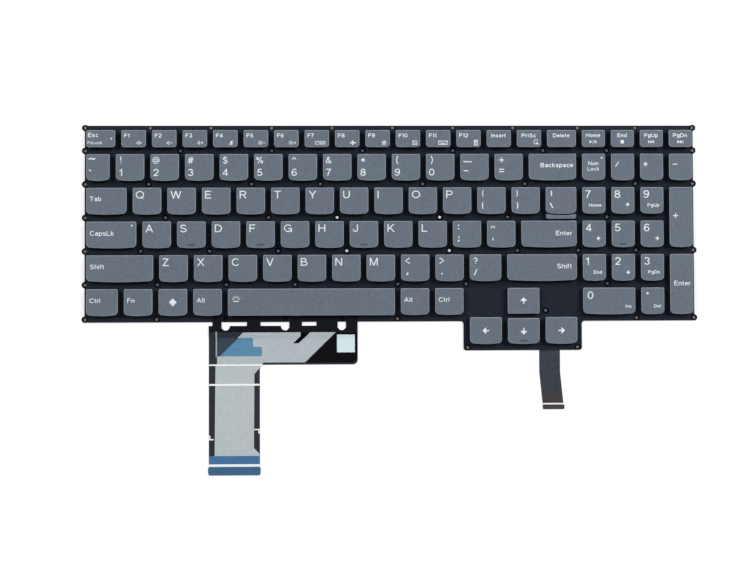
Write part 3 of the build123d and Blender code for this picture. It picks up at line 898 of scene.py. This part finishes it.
slide_marks = {name: letter(name.upper()) for name in sliding if len(name) == 1}
slide_marks.update({
    "tab": word("Tab", 2.0, 6.0),
    "left_bracket": pair("{", "[", 2.5, 3.0, weight=0.17, lower_weight=0.2),
    "right_bracket": pair("}", "]", 2.5, 3.2, weight=0.17, lower_weight=0.2),
    "backslash": pair("|", "\\", 2.75, 3.2, weight=0.2),
    "caps_lock": word("CapsLk", 2.1, 6.4, height=2.5),
    "semicolon": pair(":", ";", 3.6, 3.2, weight=0.19),
    "quote": pair('"', "'", 3.6, 3.2, weight=0.15),
    "enter": word("Enter", -2.6, 6.75, "right", weight=0.16),
    "left_shift": word("Shift", 2.3),
    "comma": pair("<", ",", 3.9, 3.55, 3.4, 10.45, 0.14, 0.2),
    "period": pair(">", ".", 3.9, 3.6, 3.4, 10.45, 0.14, 0.2),
    "slash": pair("?", "/", 3.2, 3.2, 3.5, 9.7, 0.145, 0.165),
    "right_shift": word("Shift", -2.95, 6.5, "right", 2.5),
    "space": sign(key_light, 4.5, 6.2),
})
for name, text in (("left_control", "Ctrl"), ("function", "Fn"), ("left_alt", "Alt"), ("right_alt", "Alt"),
                   ("right_control", "Ctrl")):
    slide_marks[name] = word(text, 1.95)
slide_marks["system"] = sign(diamond, sliding["system"].width / 2, 7.2)


def add_lip(form, key, upper):
    """Low lip in front of a bowed cap: a web below, painted near black as the shade at the foot of the groove, and a
    bar that stands off the cap by a groove.
    """
    bottom, groove, lip_round = key.low[2], 0.5, 1.3
    web_depth = key_depth / 2 + upper.low[1] - key.low[1]
    web_levels = [(0.1, bottom), (0.0, bottom + 0.1), (0.0, bottom + 0.3)]
    # the web takes paint 2, near black: painted shade seen down the groove
    add_block(form, key.x, key.low[1] + web_depth / 2, key.width - 0.8, web_depth - 0.4, web_levels, 2)
    rings = []
    for inset, height in ((0.12, 0.0), (0.0, 0.14), (0.03, 1.35), (0.14, 1.52), (0.4, 1.6)):
        half, front = key.width / 2 - 0.2 - inset, key.low[1] + inset
        turn = lip_round - inset
        plan = corner(turn - half, front + turn, turn, 180, 270) + corner(half - turn, front + turn, turn, 270, 360)
        for step in range(13):
            x = half * (1 - step / 6)
            plan.append((x, upper.low[1] + upper.bow * (2 * x / upper.width) ** 2 - groove - inset))
        rings.append(ring_at(plan, key.x, 0, bottom + height))
    form.add(*lofted(rings))


def make_sliding_cap(name, key):
    """Cap of a sliding key with its print, both on the key's own body."""
    form = Form()
    full = key
    if name == "backslash":
        low = [key.low[0], key.high[1] - key_depth, key.low[2]]
        full = Key([value / 1000 for value in low], [value / 1000 for value in key.high])
        add_lip(form, key, full)
    add_cap(form, full, True)
    if name in ("s", "f", "j"):
        add_homing_bar(form, full, 1)
    cap = form.piece("cap_" + name, [cap_paint, homing_bar_painted_shade, recess_black], "key_" + name, "key_cap")
    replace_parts(cap, "key_" + name)
    print_form = Form()
    add_legend(print_form, full, slide_marks[name])
    if name == "caps_lock":
        add_legend(print_form, full, sign(dot(lamp_radius), -2.45, 2.2), 1)
    print_form.piece("print_" + name, [legend_ink, lamp_dot], "key_" + name, "key_cap")


for name, key in sliding.items():
    make_sliding_cap(name, key)


# Keys in groups

function_keys = solid_boxes("function_row_keys")
number_keys = solid_boxes("number_row_keys")
pad_keys = solid_boxes("number_pad_keys")
arrow_keys = solid_boxes("arrow_keys")
for key in function_keys + arrow_keys[:1]:
    key.bow = 0
    key.front = 1.7
arrow_keys[0].front = 0.7


speaker = loop(speaker_rim, speaker_hollow)
minus_right = moved(minus_sign, 1.15, 0)
plus_right = moved(plus_sign, 1.15, 0, 0, 1.1)
small_sun = moved(sun, -0.6, 0)
function_signs = [
    (joined(speaker, moved(cross_sign, 0.75, 0)), 3.8, 1.1), (joined(speaker, minus_right), 4.0, 1.1),
    (joined(speaker, plus_right), 4.0, 1.1), (microphone, 3.45, 1.2),
    (joined(small_sun, moved(minus_right, 0.3, 0)), 3.6, 1.05),
    (joined(small_sun, moved(plus_right, 0.3, 0)), 3.5, 1.05), (screens, 4.7, 1.3), (aeroplane, 3.3, 1.25),
    (star, 3.1, 1.28), (touch_pad, 2.95, 1.2), (key_field, 4.1, 1.5), (adder, 2.7, 1.3),
]
function_marks = [word("Esc", 1.05, 2.7, "left", 2.25, 0.165) + word("FnLock", 0.8, 6.85, "left", 1.55, 0.15)]
for number, (shape, across, size) in enumerate(function_signs, 1):
    function_marks.append(word("F%d" % number, 1.65, 3.0, "left", 2.05, label_weight) + sign(shape, -across, 6.95, size))
for text, key in zip(("Insert", "PrtSc", "Delete"), function_keys[13:16]):
    function_marks.append(word(text, key.width / 2 - 0.15, 3.05, "middle", 2.0, 0.18))
function_marks[14] += sign(snip, -2.8, 6.5, 1.22)
media_signs = (("Home", play_pause), ("End", stop), ("PgUp", skip_back), ("PgDn", skip_on))
for (text, shape), key in zip(media_signs, function_keys[16:]):
    half = key.width / 2
    function_marks.append(word(text, half - 0.2, 2.95, "middle", 1.98, 0.175) + sign(shape, half - 0.1, 6.5, 1.2))

number_marks = [
    sign(text_shape("~", 4.0, "middle", True, 0.16), 3.2, 2.6)
    + sign(text_shape("`", 4.0, "middle", True, 0.13), 2.2, 8.8),
    pair("!", "1", across=2.8, upper_back=3.15), pair("@", "2", weight=thin_weight, lower_weight=line_weight),
    pair("#", "3"), pair("$", "4", weight=thin_weight, lower_weight=line_weight), pair("%", "5"),
    pair("^", "6", upper_back=2.5), pair("&", "7"), pair("*", "8"), pair("(", "9"), pair(")", "0"),
]
number_marks.append(sign(stroke(-2.25, 0, 2.25, 0, 0.55), 4.0, 4.3) + sign(stroke(-1.3, 0, 1.3, 0, 0.5), 3.1, 9.2))
equals_sign = joined(stroke(-0.5, 0.24, 0.5, 0.24, 0.18), stroke(-0.5, -0.24, 0.5, -0.24, 0.18))
number_marks.append(sign(thin_plus, 3.85, 3.4, 2.8) + sign(equals_sign, 3.85, 9.1, 2.7))
number_marks.append(word("Backspace", -1.75, 6.2, "right", 2.3, 0.172))


def pad_digit(digit, second):
    """Large digit with a small word or arrow in the front right corner."""
    marks = letter(digit)
    if isinstance(second, str):
        marks += small_word(second, -2.35, 9.8)
    elif second is not None:
        marks += sign(arrow_sign(second, 2.55, 0.32, 0.22), -3.85, 9.7)
    return marks


half_pad = pad_keys[0].width / 2
pad_marks = [
    word("Num", half_pad - 0.2, 5.25, "middle", 1.95, 0.158)
    + word("Lock", half_pad - 0.2, 8.25, "middle", 1.95, 0.158),
    sign(stroke(-0.95, -1.35, 0.95, 1.35, 0.42), 3.35, 5.75),
    [(joined(*[moved(stroke(-1.2, 0, 1.2, 0, 0.38), 0, 0, turn) for turn in (30, 90, 150)]), 3.0, 5.75)],
    sign(stroke(-1.35, 0, 1.35, 0, 0.5), 3.4, 5.8),
    pad_digit("7", "Home"), pad_digit("8", 0), pad_digit("9", "PgUp"), sign(thin_plus, 3.4, 15.5, 2.8),
    pad_digit("4", 90), pad_digit("5", None), pad_digit("6", 270),
    pad_digit("1", "End"), pad_digit("2", 180), pad_digit("3", "PgDn"),
    word("Enter", half_pad + 0.3, 15.9, "middle", 2.45),
    letter("0", 2.5, 4.15) + small_word("Ins", -2.25, 10.05),
    sign(dot(0.62), 3.5, 3.2) + small_word("Del", -1.95, 10.05),
]
arrow_marks = [[(arrow_sign(turn, 3.8), key.width / 2, key.depth / 2)]
               for turn, key in zip((0, 90, 180, 270), arrow_keys)]


def make_key_group(node, name, keys, marks, bars=(), lamps=()):
    """Caps of a group as one piece, and their print as another."""
    form, print_form = Form(), Form()
    for index, key in enumerate(keys):
        add_cap(form, key, False)
        if index in bars:
            add_homing_bar(form, key, 1)
        add_legend(print_form, key, marks[index])
    for index, across, back in lamps:
        add_legend(print_form, keys[index], sign(dot(lamp_radius), across, back), 1)
    caps = form.piece("caps_" + name, [cap_paint, homing_bar_painted_shade], "base", "key_cap")
    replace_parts(caps, node)
    print_form.piece("print_" + name, [legend_ink, lamp_dot], "base", "key_cap")


make_key_group("function_row_keys", "function_row", function_keys, function_marks, lamps=[(0, -2.1, 4.6)])
make_key_group("number_row_keys", "number_row", number_keys, number_marks)
make_key_group("number_pad_keys", "number_pad", pad_keys, pad_marks, bars=(9,), lamps=[(0, -2.0, 2.25)])
make_key_group("arrow_keys", "arrow_block", arrow_keys, arrow_marks, bars=(2,))


# Domes and scissor frames under the caps

pocket_width = sliding["q"].width - 2 * cap_wall
pocket_depth = key_depth - 2 * cap_wall - cap_bow
frame_length = pocket_depth - 2 * frame_clearance
outer_width = pocket_width - 2 * frame_clearance
inner_width = outer_width - 2 * frame_bar - 2 * frame_clearance
dome_radius = inner_width / 2 - frame_bar - 0.3
pocket_roof = cap_top - cap_roof
rise = pocket_roof - film_top - 2 * seat_clearance
diagonal = sqrt(frame_length ** 2 + frame_thickness ** 2)
frame_tilt = atan2(rise, sqrt(diagonal ** 2 - rise ** 2)) - atan2(frame_thickness, frame_length)
dome_profile = [(1.0, 0.0), (1.0, 0.16), (0.93, 0.24), (0.88, 0.5), (0.8, 1.5), (0.74, 2.1), (0.66, 2.5), (0.52, 2.78),
                (0.34, 2.9)]


def add_dome(form, x, y, height):
    """Rubber dome: a flat foot, a leaning wall and a rounded crown."""
    rings = []
    for share, level in dome_profile:
        ring = circle(dome_radius * 0.98 * share)
        rings.append(ring_at(ring, x, y, film_top + level * (height / dome_profile[-1][1])))
    form.add(*lofted(rings))


def frame_skin(width):
    """U-shaped frame with softened edges, lying flat about its middle."""
    half, long = width / 2, frame_length / 2
    inner = half - frame_bar
    plan = [(-half, -long), (-inner, -long), (-inner, long - frame_bar), (inner, long - frame_bar),
            (inner, -long), (half, -long), (half, long), (-half, long)]
    skin = bmesh.new()
    low = [skin.verts.new((x, y, -frame_thickness / 2)) for x, y in plan]
    high = [skin.verts.new((x, y, frame_thickness / 2)) for x, y in plan]
    skin.faces.new(list(reversed(low)))
    skin.faces.new(high)
    for i in range(8):
        skin.faces.new((low[i], low[(i + 1) % 8], high[(i + 1) % 8], high[i]))
    bmesh.ops.bevel(skin, geom=list(skin.edges), offset=0.13, segments=2, affect="EDGES", profile=0.6)
    skin.verts.index_update()
    points = [tuple(vert.co) for vert in skin.verts]
    faces = [tuple(vert.index for vert in face.verts) for face in skin.faces]
    skin.free()
    return points, faces


def tilted(points, x, y, half_turn):
    """Frame points tilted about the scissor's middle and set in place."""
    way = -1 if half_turn else 1
    placed = []
    for px, py, pz in points:
        level = py * sin(frame_tilt) + pz * cos(frame_tilt)
        along = py * cos(frame_tilt) - pz * sin(frame_tilt)
        placed.append((x + way * px, y + way * along, (film_top + pocket_roof) / 2 + level))
    return placed


outer_skin = frame_skin(outer_width)
inner_skin = frame_skin(inner_width)
for name, key in sliding.items():
    x, y = key.x, key.high[1] - key_depth / 2 + cap_bow / 2
    dome, scissor = Form(), Form()
    add_dome(dome, x, y, pocket_roof - film_top - seat_clearance)
    scissor.add(tilted(outer_skin[0], x, y, False), outer_skin[1])
    scissor.add(tilted(inner_skin[0], x, y, True), inner_skin[1])
    dome_piece = dome.piece("dome_" + name, [dome_rubber], "base", "dome")
    scissor_piece = scissor.piece("scissor_" + name, [frame_moulding], "base", "scissor")
    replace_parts(dome_piece, "rubber_domes")
    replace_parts(scissor_piece, "scissor_outer_frames", "scissor_inner_frames")
    for soft in (dome_piece, scissor_piece):
        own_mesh(soft)

short_domes = Form()
for key in function_keys + number_keys + pad_keys + arrow_keys:
    add_dome(short_domes, key.x, key.y, cap_bottom - film_top - seat_clearance)
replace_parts(short_domes.piece("domes_of_groups", [dome_rubber], "base", "dome"), "rubber_domes")


# Stake points

def gap_after(keys, index):
    return (keys[index].high[0] + keys[index + 1].low[0]) / 2


def stake_level(back_edge):
    return back_edge + row_gap / 2 + stake_lift


upper_row, home_row, lower_row, bottom_row = ([sliding[name] for name in row] for row in sliding_rows)
inner_stakes = []
for keys, front_row, places, pad_places in (
    (function_keys, number_keys, (2, 5, 8, 11, 14), (0,)),
    (number_keys, upper_row, (1, 4, 6, 9, 12), (1,)),
    (upper_row, home_row, (1, 4, 6, 9, 11), (0,)),
    (home_row, lower_row, (0, 2, 4, 6, 9, 11), (1,)),
    (lower_row, bottom_row, (0, 2, 4, 7, 9), (0,)),
):
    level = stake_level(front_row[0].high[1])
    # at pale places the disc over the hole is painted white, as light coming through the hole
    pale = (6, 9) if keys in (upper_row, home_row) else ()
    inner_stakes += [(gap_after(keys, place), level, place in pale) for place in places]
    inner_stakes += [(gap_after(pad_keys, place), level, False) for place in pad_places]
inner_stakes.append(((home_row[-1].high[0] + pad_keys[0].low[0]) / 2, stake_level(lower_row[0].high[1]), False))
inner_stakes.append((arrow_keys[3].low[0] + stake_radius, arrow_keys[3].high[1] + row_gap, False))

plate_low, plate_high = box_in_mm("base_plate")
plate_front = bottom_row[0].low[1] - plate_front_margin
side_x = plate_high[0] - lug_radius
back_y = plate_high[1] - 1.2
front_y = plate_front + 1.65
arrow_front_y = plate_low[1] + 1.65
tail_width = 80.2
lobe_places = (9.12, 41.12, 71.62)
tail_left = gap_after(bottom_row, 3) - lobe_places[0]
tail_right = tail_left + tail_width
lobes = [tail_left + place for place in lobe_places]

edge_stakes = [(x, y) for x in (-side_x, side_x) for y in (back_y, front_y)]
side_levels = [stake_level(row[0].high[1]) for row in (number_keys, upper_row, home_row, lower_row, bottom_row)]
edge_stakes += [(-side_x, level) for level in side_levels]
edge_stakes += [(side_x, side_levels[row]) for row in (0, 1, 3)]
edge_stakes += [(gap_after(function_keys, place), back_y) for place in (1, 3, 5, 7, 9, 11, 13, 15)]
edge_stakes += [(gap_after(pad_keys, 1), y) for y in (back_y, front_y)]
edge_stakes += [(gap_after(bottom_row, place), front_y) for place in (1, 4)]
edge_stakes += [(arrow_keys[1].low[0] - stake_radius, arrow_front_y),
                (arrow_keys[3].high[0] + stake_radius, arrow_front_y)]
edge_stakes += [(x, front_y) for x in lobes]


def add_ringed(form, x, y, profile, paint, closed=False):
    """Turned skin about an upright axis, from a profile of radii and levels."""
    points, faces = lofted([ring_at(circle(radius), x, y, level) for radius, level in profile])
    form.add(points, faces[1:] if closed else faces[1:-1], paint)


wide_rim = 1.66
narrow_rim = 1.18
# Inner stakes: a funnel in the film painted near black as shade, and a disc over the hole painted as the view through
# it, grey for the shade beneath or white for light coming through at pale places.
recesses = Form()
for x, y, pale in inner_stakes:
    funnel = [(1.9, film_top + 0.005), (1.8, film_top + 0.02), (1.5, film_top - 0.06), (1.1, film_seat + 0.05),
              (0.8, film_seat + 0.015)]
    add_ringed(recesses, x, y, funnel, 0)
    head = [(0.8, film_seat + 0.015), (0.74, film_seat + 0.08), (0.5, film_seat + 0.13), (0.2, film_seat + 0.145)]
    add_ringed(recesses, x, y, head, 2 if pale else 1, closed=True)
# Edge stakes: a ring and hole wall painted near black as shade, and an end that closes the hole, painted tan as the
# table in shade seen through it, or near black as shade at the lobes.
for x, y in edge_stakes:
    rim = wide_rim if y != back_y or abs(x) == side_x else narrow_rim
    painted_shade_mouth = [(rim, film_seat + 0.004), (rim - 0.1, film_seat + 0.03), (1.0, film_seat + 0.02), (0.84, film_seat - 0.03),
              (0.78, film_seat - 0.2)]
    add_ringed(recesses, x, y, painted_shade_mouth, 0)
    end = [(0.78, film_seat - 0.2), (0.7, film_seat - 0.22), (0.4, film_seat - 0.2), (0.15, film_seat - 0.19)]
    add_ringed(recesses, x, y, end, 0 if x in lobes else 3, closed=True)
recesses.piece("stake_recesses", [recess_black, painted_hole_shade_grey, painted_hole_light_white, painted_shaded_table_tan], "base", "base_plate")


# Print, patches and sticker on the film tail

band_front = plate_front - band_length
drop_front = band_front - drop_length
drop_half = drop_length / 2
drop_radius = (drop_half ** 2 + (film_seat / 2) ** 2) / film_seat
drop_turn = asin(drop_half / drop_radius)
drop_steps = [drop_radius * sin(drop_turn * step / 3) for step in range(4)]
drop_cuts = [band_front - past for past in drop_steps] + [drop_front + left for left in drop_steps[:3]]


def film_level(y):
    """Height of the film's upper face along the tail, which comes down to the table in two arcs."""
    if y >= band_front:
        return film_top
    if y <= drop_front:
        return film_thickness
    past = band_front - y
    if past <= drop_half:
        return film_top - drop_radius + sqrt(drop_radius ** 2 - past ** 2)
    left = y - drop_front
    return film_thickness + drop_radius - sqrt(drop_radius ** 2 - left ** 2)


def add_print(form, outlines, lift, paint):
    """Flat print on the tail: outlines cut across the drop so that they follow it."""
    for outline in outlines:
        skin = bmesh.new()
        skin.faces.new([skin.verts.new((x, y, 0)) for x, y in outline])
        for cut in drop_cuts:
            everything = list(skin.verts) + list(skin.edges) + list(skin.faces)
            bmesh.ops.bisect_plane(skin, geom=everything, plane_co=(0, cut, 0), plane_no=(0, 1, 0), dist=1e-4)
        bmesh.ops.triangulate(skin, faces=list(skin.faces))
        bmesh.ops.recalc_face_normals(skin, faces=list(skin.faces))
        skin.verts.index_update()
        up = sum(face.normal.z for face in skin.faces) > 0
        faces = [tuple(vert.index for vert in list(face.verts)[::1 if up else -1]) for face in skin.faces]
        form.add([(vert.co.x, vert.co.y, film_level(vert.co.y) + lift) for vert in skin.verts], faces, paint)
        skin.free()


def strip(x0, y0, x1, y1):
    return [(x0, y0), (x1, y0), (x1, y1), (x0, y1)]


stiffener_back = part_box("tail_stiffener")[1].y * 1000 - plate_front
arm_front = -23.0
leg_left, leg_right = tail_left, tail_left + 27.4
field_back = -5.6
line_level = arm_front - 0.3
slant_end = arm_front + 1.2


def from_plate(outline):
    """Outline whose second numbers are counted from the plate's front edge."""
    return [(x, y + plate_front) for x, y in outline]


print_lift = 0.014
black_lift = 0.012
patch_lift = 0.022
grey_line_lift = 0.026
white_line_lift = 0.028
sticker_lift = 0.10
sticker_ease = 0.12

tail_print = Form()
slant_left = [(-93.9, line_level), (-93.9, -19.0), (-79.8, field_back), (-74.0, field_back), (-62.0, -18.7),
              (-62.0, slant_end), (leg_right + 1.6, slant_end), (leg_right + 1.6, line_level)]
straight_arm = [(-74.0, field_back), (-53.0, field_back), (-53.0, slant_end), (-62.0, slant_end), (-62.0, -18.7)]
beside_notch = [(-53.0, -11.5), (-50.0, -11.5), (-46.6, -8.4), (-43.8, field_back), (-40.2, field_back), (-53.0, -18.4)]
slant_right = [(-40.2, field_back), (-30.0, field_back), (-46.6, slant_end), (-53.0, slant_end), (-53.0, -18.4)]
above_notch = [(-53.0, field_back), (-48.9, field_back), (-48.9, -7.6), (-53.0, -11.5)]
leg_field = [(-95.2, stiffener_back), (leg_right - 0.3, stiffener_back), (leg_right - 0.3, -70.7),
             (leg_right - 3.2, -67.7), (leg_right - 2.9, line_level - 4.5), (leg_right + 1.2, line_level),
             (-94.7, line_level)]
silver_fields = ((slant_left, slant_right), (straight_arm, above_notch, beside_notch), (leg_field,))
for paint, outlines in enumerate(silver_fields):
    add_print(tail_print, [from_plate(outline) for outline in outlines], print_lift, paint)
tail_print.piece("tail_silver_print", [silver_slant, silver_arm, silver_leg], "base", "film")

tail_patches = Form()
corner_field = [(tail_right - 0.4, field_back), (tail_right - 0.4, -20.4), (tail_right - 2.3, slant_end - 0.2),
                (-46.0, slant_end - 0.2), (-29.5, field_back)]
blue_patch = [(-92.5, -18.4), (-82.1, -8.4), (-75.1, -8.4), (-74.5, -8.9), (-74.5, -12.8), (-74.0, -13.3), (-70.3, -13.3),
              (-69.7, -13.9), (-69.7, -17.8), (-70.2, -18.4)]
navy_patch = [(-93.8, -18.4), (-92.5, -18.4), (-82.1, -8.4), (-93.8, -8.4)]
notch_patch = [(-48.9, field_back), (-48.9, -7.6), (-53.0, -11.5), (-50.0, -11.5), (-46.6, -8.4), (-43.8, field_back)]
for paint, (outline, lift) in enumerate(((corner_field, black_lift), (blue_patch, patch_lift), (navy_patch, patch_lift),
                                         (notch_patch, black_lift))):
    add_print(tail_patches, [from_plate(outline)], lift, paint)
tail_patches.piece("tail_patches", [tail_black, patch_blue, patch_navy, recess_black], "base", "film")

tail_lines = Form()
add_print(tail_lines, [from_plate(strip(-94.6, -18.9, -93.9, -5.1))], grey_line_lift, 1)
white_lines = [
    strip(leg_left + 0.2, line_level - 0.2, leg_right + 1.5, line_level + 0.6),
    strip(leg_left + 0.2, -34.2, leg_right - 0.1, -33.2),
    strip(leg_left + 0.1, -63.4, leg_left + 0.8, -60.9),
    strip(leg_left + 0.8, -63.4, leg_left + 2.5, -62.75),
    strip(leg_right - 3.0, -58.1, leg_right - 0.8, -57.45),
    strip(leg_right - 0.8, -60.0, leg_right - 0.1, -57.45),
]
add_print(tail_lines, [from_plate(outline) for outline in white_lines], white_line_lift, 0)
tail_lines.piece("tail_lines", [line_white, line_grey], "base", "film")

sticker = Form()
sticker_x, sticker_y, sticker_side = tail_right - 6.4, plate_front - 11.7, 9.6
rings = []
for inset, lift in ((0.0, 0.010), (0.0, 0.07), (sticker_ease, sticker_lift)):
    half = sticker_side / 2 - inset
    outline = strip(sticker_x - half, sticker_y - half, sticker_x + half, sticker_y + half)
    dense = []
    for (x0, y0), (x1, y1) in zip(outline, outline[1:] + outline[:1]):
        dense += [(x0 + (x1 - x0) * step / 12, y0 + (y1 - y0) * step / 12) for step in range(12)]
    rings.append([(x, y, film_level(y) + lift) for x, y in dense])
points, faces = lofted(rings)
sticker.add(points, faces[1:-1])
add_print(sticker, [outline], sticker_lift, 0)
sticker.piece("tail_sticker", [sticker_paper], "base", "film")


# Stiffened ends of the two tails

def add_end_plate(form, plan, low, high):
    """Thin plate of a plan, with its upper edge eased."""
    left, right = min(x for x, y in plan), max(x for x, y in plan)
    front, back = min(y for x, y in plan), max(y for x, y in plan)
    middle_x, middle_y = (left + right) / 2, (front + back) / 2
    ease = 0.06
    across, along = 1 - 2 * ease / (right - left), 1 - 2 * ease / (back - front)
    eased = [(middle_x + (x - middle_x) * across, middle_y + (y - middle_y) * along) for x, y in plan]
    rings = [ring_at(outline, 0, 0, level) for outline, level in ((plan, low), (plan, high - ease), (eased, high))]
    form.add(*lofted(rings))


def rounded_front(left, right, front, turn):
    """Front edge of an end plate from left to right, with rounded corners."""
    return corner(left + turn, front + turn, turn, 180, 270) + corner(right - turn, front + turn, turn, 270, 360)


def add_flat(form, plan, level, paint):
    form.add(ring_at(plan, 0, 0, level), [tuple(range(len(plan)))], paint)


stiffener_low, stiffener_high = box_in_mm("tail_stiffener")
stiffener_middle = (stiffener_low[1] + stiffener_high[1]) / 2
grip_left, grip_right, grip_front = stiffener_low[0], stiffener_high[0], stiffener_low[1]
neck = 0.45
deep_inset = 0.12
neck_back, neck_front, grip_back = stiffener_middle - 0.5, stiffener_middle - 1.2, stiffener_high[1] + 0.4
stiffener = Form()
stiffener_plan = rounded_front(grip_left, grip_right, grip_front, 1.5)
stiffener_plan += [(grip_right, neck_front), (grip_right - neck, neck_back), (grip_right - neck, grip_back),
                   (grip_left + neck, grip_back), (grip_left + neck, neck_back), (grip_left, neck_front)]
add_end_plate(stiffener, stiffener_plan, stiffener_low[2], stiffener_high[2])
deep_left, deep_right = grip_left + deep_inset, grip_right - deep_inset
deep_plan = rounded_front(deep_left, deep_right, grip_front + deep_inset, 1.4)
deep_plan += [(deep_right, neck_front), (grip_right - neck - deep_inset, neck_back),
              (grip_left + neck + deep_inset, neck_back), (deep_left, neck_front)]
add_flat(stiffener, deep_plan, stiffener_high[2] + 0.008, 1)
white_edge = strip(grip_left + neck - 0.1, stiffener_middle - 0.35,
                   grip_right - neck + 0.1, stiffener_middle + 1.0)
add_flat(stiffener, white_edge, stiffener_high[2] + 0.016, 2)
stiffener_paints = [stiffener_blue, stiffener_deep, line_white]
stiffener_piece = stiffener.piece("tail_stiffener_plate", stiffener_paints, "base", "tail_stiffener")
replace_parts(stiffener_piece, "tail_stiffener")

light_low, light_high = box_in_mm("backlight_tail_stiffener")
light_top = light_high[2]
light_width = 11.3
light_lean = light_high[0] - light_low[0] - light_width
tip_length = 2.5


def light_edges(y):
    """Left and right edge of the leaning end of the backlight tail."""
    left = light_high[0] - light_width - light_lean * (y - light_low[1]) / (light_high[1] - light_low[1])
    return left, left + light_width


def light_strip(front, back):
    (left, right), (back_left, back_right) = light_edges(front), light_edges(back)
    return [(left + 0.08, front), (right - 0.08, front), (back_right - 0.08, back), (back_left + 0.08, back)]


light_end = Form()
tip_back = light_low[1] + tip_length
tip_left, tip_right = light_edges(light_low[1])
(shoulder_left, shoulder_right), (root_left, root_right) = light_edges(tip_back + 0.3), light_edges(light_high[1])
light_plan = rounded_front(tip_left - 0.25, tip_right + 0.25, light_low[1], 0.7)
light_plan += [(tip_right + 0.2, tip_back - 0.4), (shoulder_right, tip_back), (root_right, light_high[1]),
               (root_left, light_high[1]), (shoulder_left, tip_back), (tip_left - 0.3, tip_back - 0.4)]
add_end_plate(light_end, light_plan, light_low[2], light_top)
tip_plan = rounded_front(tip_left - 0.15, tip_right + 0.15, light_low[1] + 0.1, 0.6)
tip_plan += [(tip_right + 0.1, tip_back - 0.4), (tip_left - 0.2, tip_back - 0.4)]
add_flat(light_end, tip_plan, light_top + 0.008, 3)
add_flat(light_end, light_strip(tip_back - 0.35, tip_back + 0.1), light_top + 0.012, 1)
add_flat(light_end, light_strip(tip_back + 0.1, tip_back + 0.9), light_top + 0.016, 2)
add_flat(light_end, light_strip(tip_back + 0.9, tip_back + 1.5), light_top + 0.008, 1)
light_paints = [brown_film, brown_end, line_white, brown_tip]
light_piece = light_end.piece("backlight_tail_end", light_paints, "base", "backlight_stiffener")
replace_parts(light_piece, "backlight_tail_stiffener")


# Finish of the solids that stay

def paint_node(node, material):
    mesh = nodes[node].data
    mesh.materials.clear()
    mesh.materials.append(material)


paint_node("membrane", film_print)
paint_node("base_plate", plate_paint)
paint_node("backlight_panel", panel_white)
paint_node("backlight_tail", slate_film)


# Floor, light and camera

def seen_rays(tree):
    """One for what the camera, a reflection or a clear part sees, and nought for the light itself."""
    rays = tree.nodes.new("ShaderNodeLightPath").outputs
    seen = math_node(tree, "MAXIMUM", rays["Is Camera Ray"], rays["Is Glossy Ray"])
    return math_node(tree, "MAXIMUM", seen, rays["Is Transmission Ray"])


def make_floor():
    """White floor that keeps the shadow, a little lifted where the camera or a reflection sees it."""
    half, level = 4, -0.00005
    mesh = bpy.data.meshes.new("floor")
    mesh.from_pydata(ring_at(strip(-half, -half, half, half), 0, 0, level), [], [(0, 1, 2, 3)])
    floor = put("floor", mesh)
    material, tree, shader = new_material("floor_white")
    shader["Base Color"].default_value = mid_grey
    shader["Roughness"].default_value = 0.9
    shader["Specular IOR Level"].default_value = 0.0
    shader["Emission Color"].default_value = (1, 1, 1, 1)
    reach = add_node(tree, "ShaderNodeVectorMath", operation="LENGTH")
    feed(tree, reach.inputs[0], surface_place(tree))
    lift = ranged(tree, reach.outputs["Value"], 0.4, 1.4, 0.6, 1.0)
    feed(tree, shader["Emission Strength"], math_node(tree, "MULTIPLY", seen_rays(tree), lift))
    mesh.materials.append(material)


def make_world():
    """Plain grey light from all round, white where it is seen."""
    world = bpy.data.worlds.new("studio")
    scene.world = world
    world.use_nodes = True
    tree = world.node_tree
    sky = tree.nodes["Background"]
    sky.inputs["Color"].default_value = (1, 1, 1, 1)
    tree.links.new(ranged(tree, seen_rays(tree), 0, 1, 0.17, 1.0), sky.inputs["Strength"])


def make_lamp(name, place, size, power):
    """Square soft light that looks at the middle of the keys."""
    data = bpy.data.lights.new(name, "AREA")
    data.shape = "SQUARE"
    data.size = size
    data.energy = power
    lamp = put(name, data)
    lamp.location = place
    lamp.rotation_euler = (-lamp.location).to_track_quat("-Z", "Y").to_euler()


make_floor()
make_world()
make_lamp("lamp_left", (-0.8, 0.46, 1.15), 0.6, 9.4)
make_lamp("lamp_right", (0.8, 0.48, 1.15), 0.6, 12.9)

camera_data = bpy.data.cameras.new("camera")
camera_data.sensor_width = 36
camera_data.lens = 36 * 1127 / 750
camera_data.clip_start = 0.01
camera = put("camera", camera_data)
camera.location = (-0.02146, -0.04586, 0.60968)
camera.rotation_euler = (0.02376, -0.02094, -0.0037)
scene.camera = camera
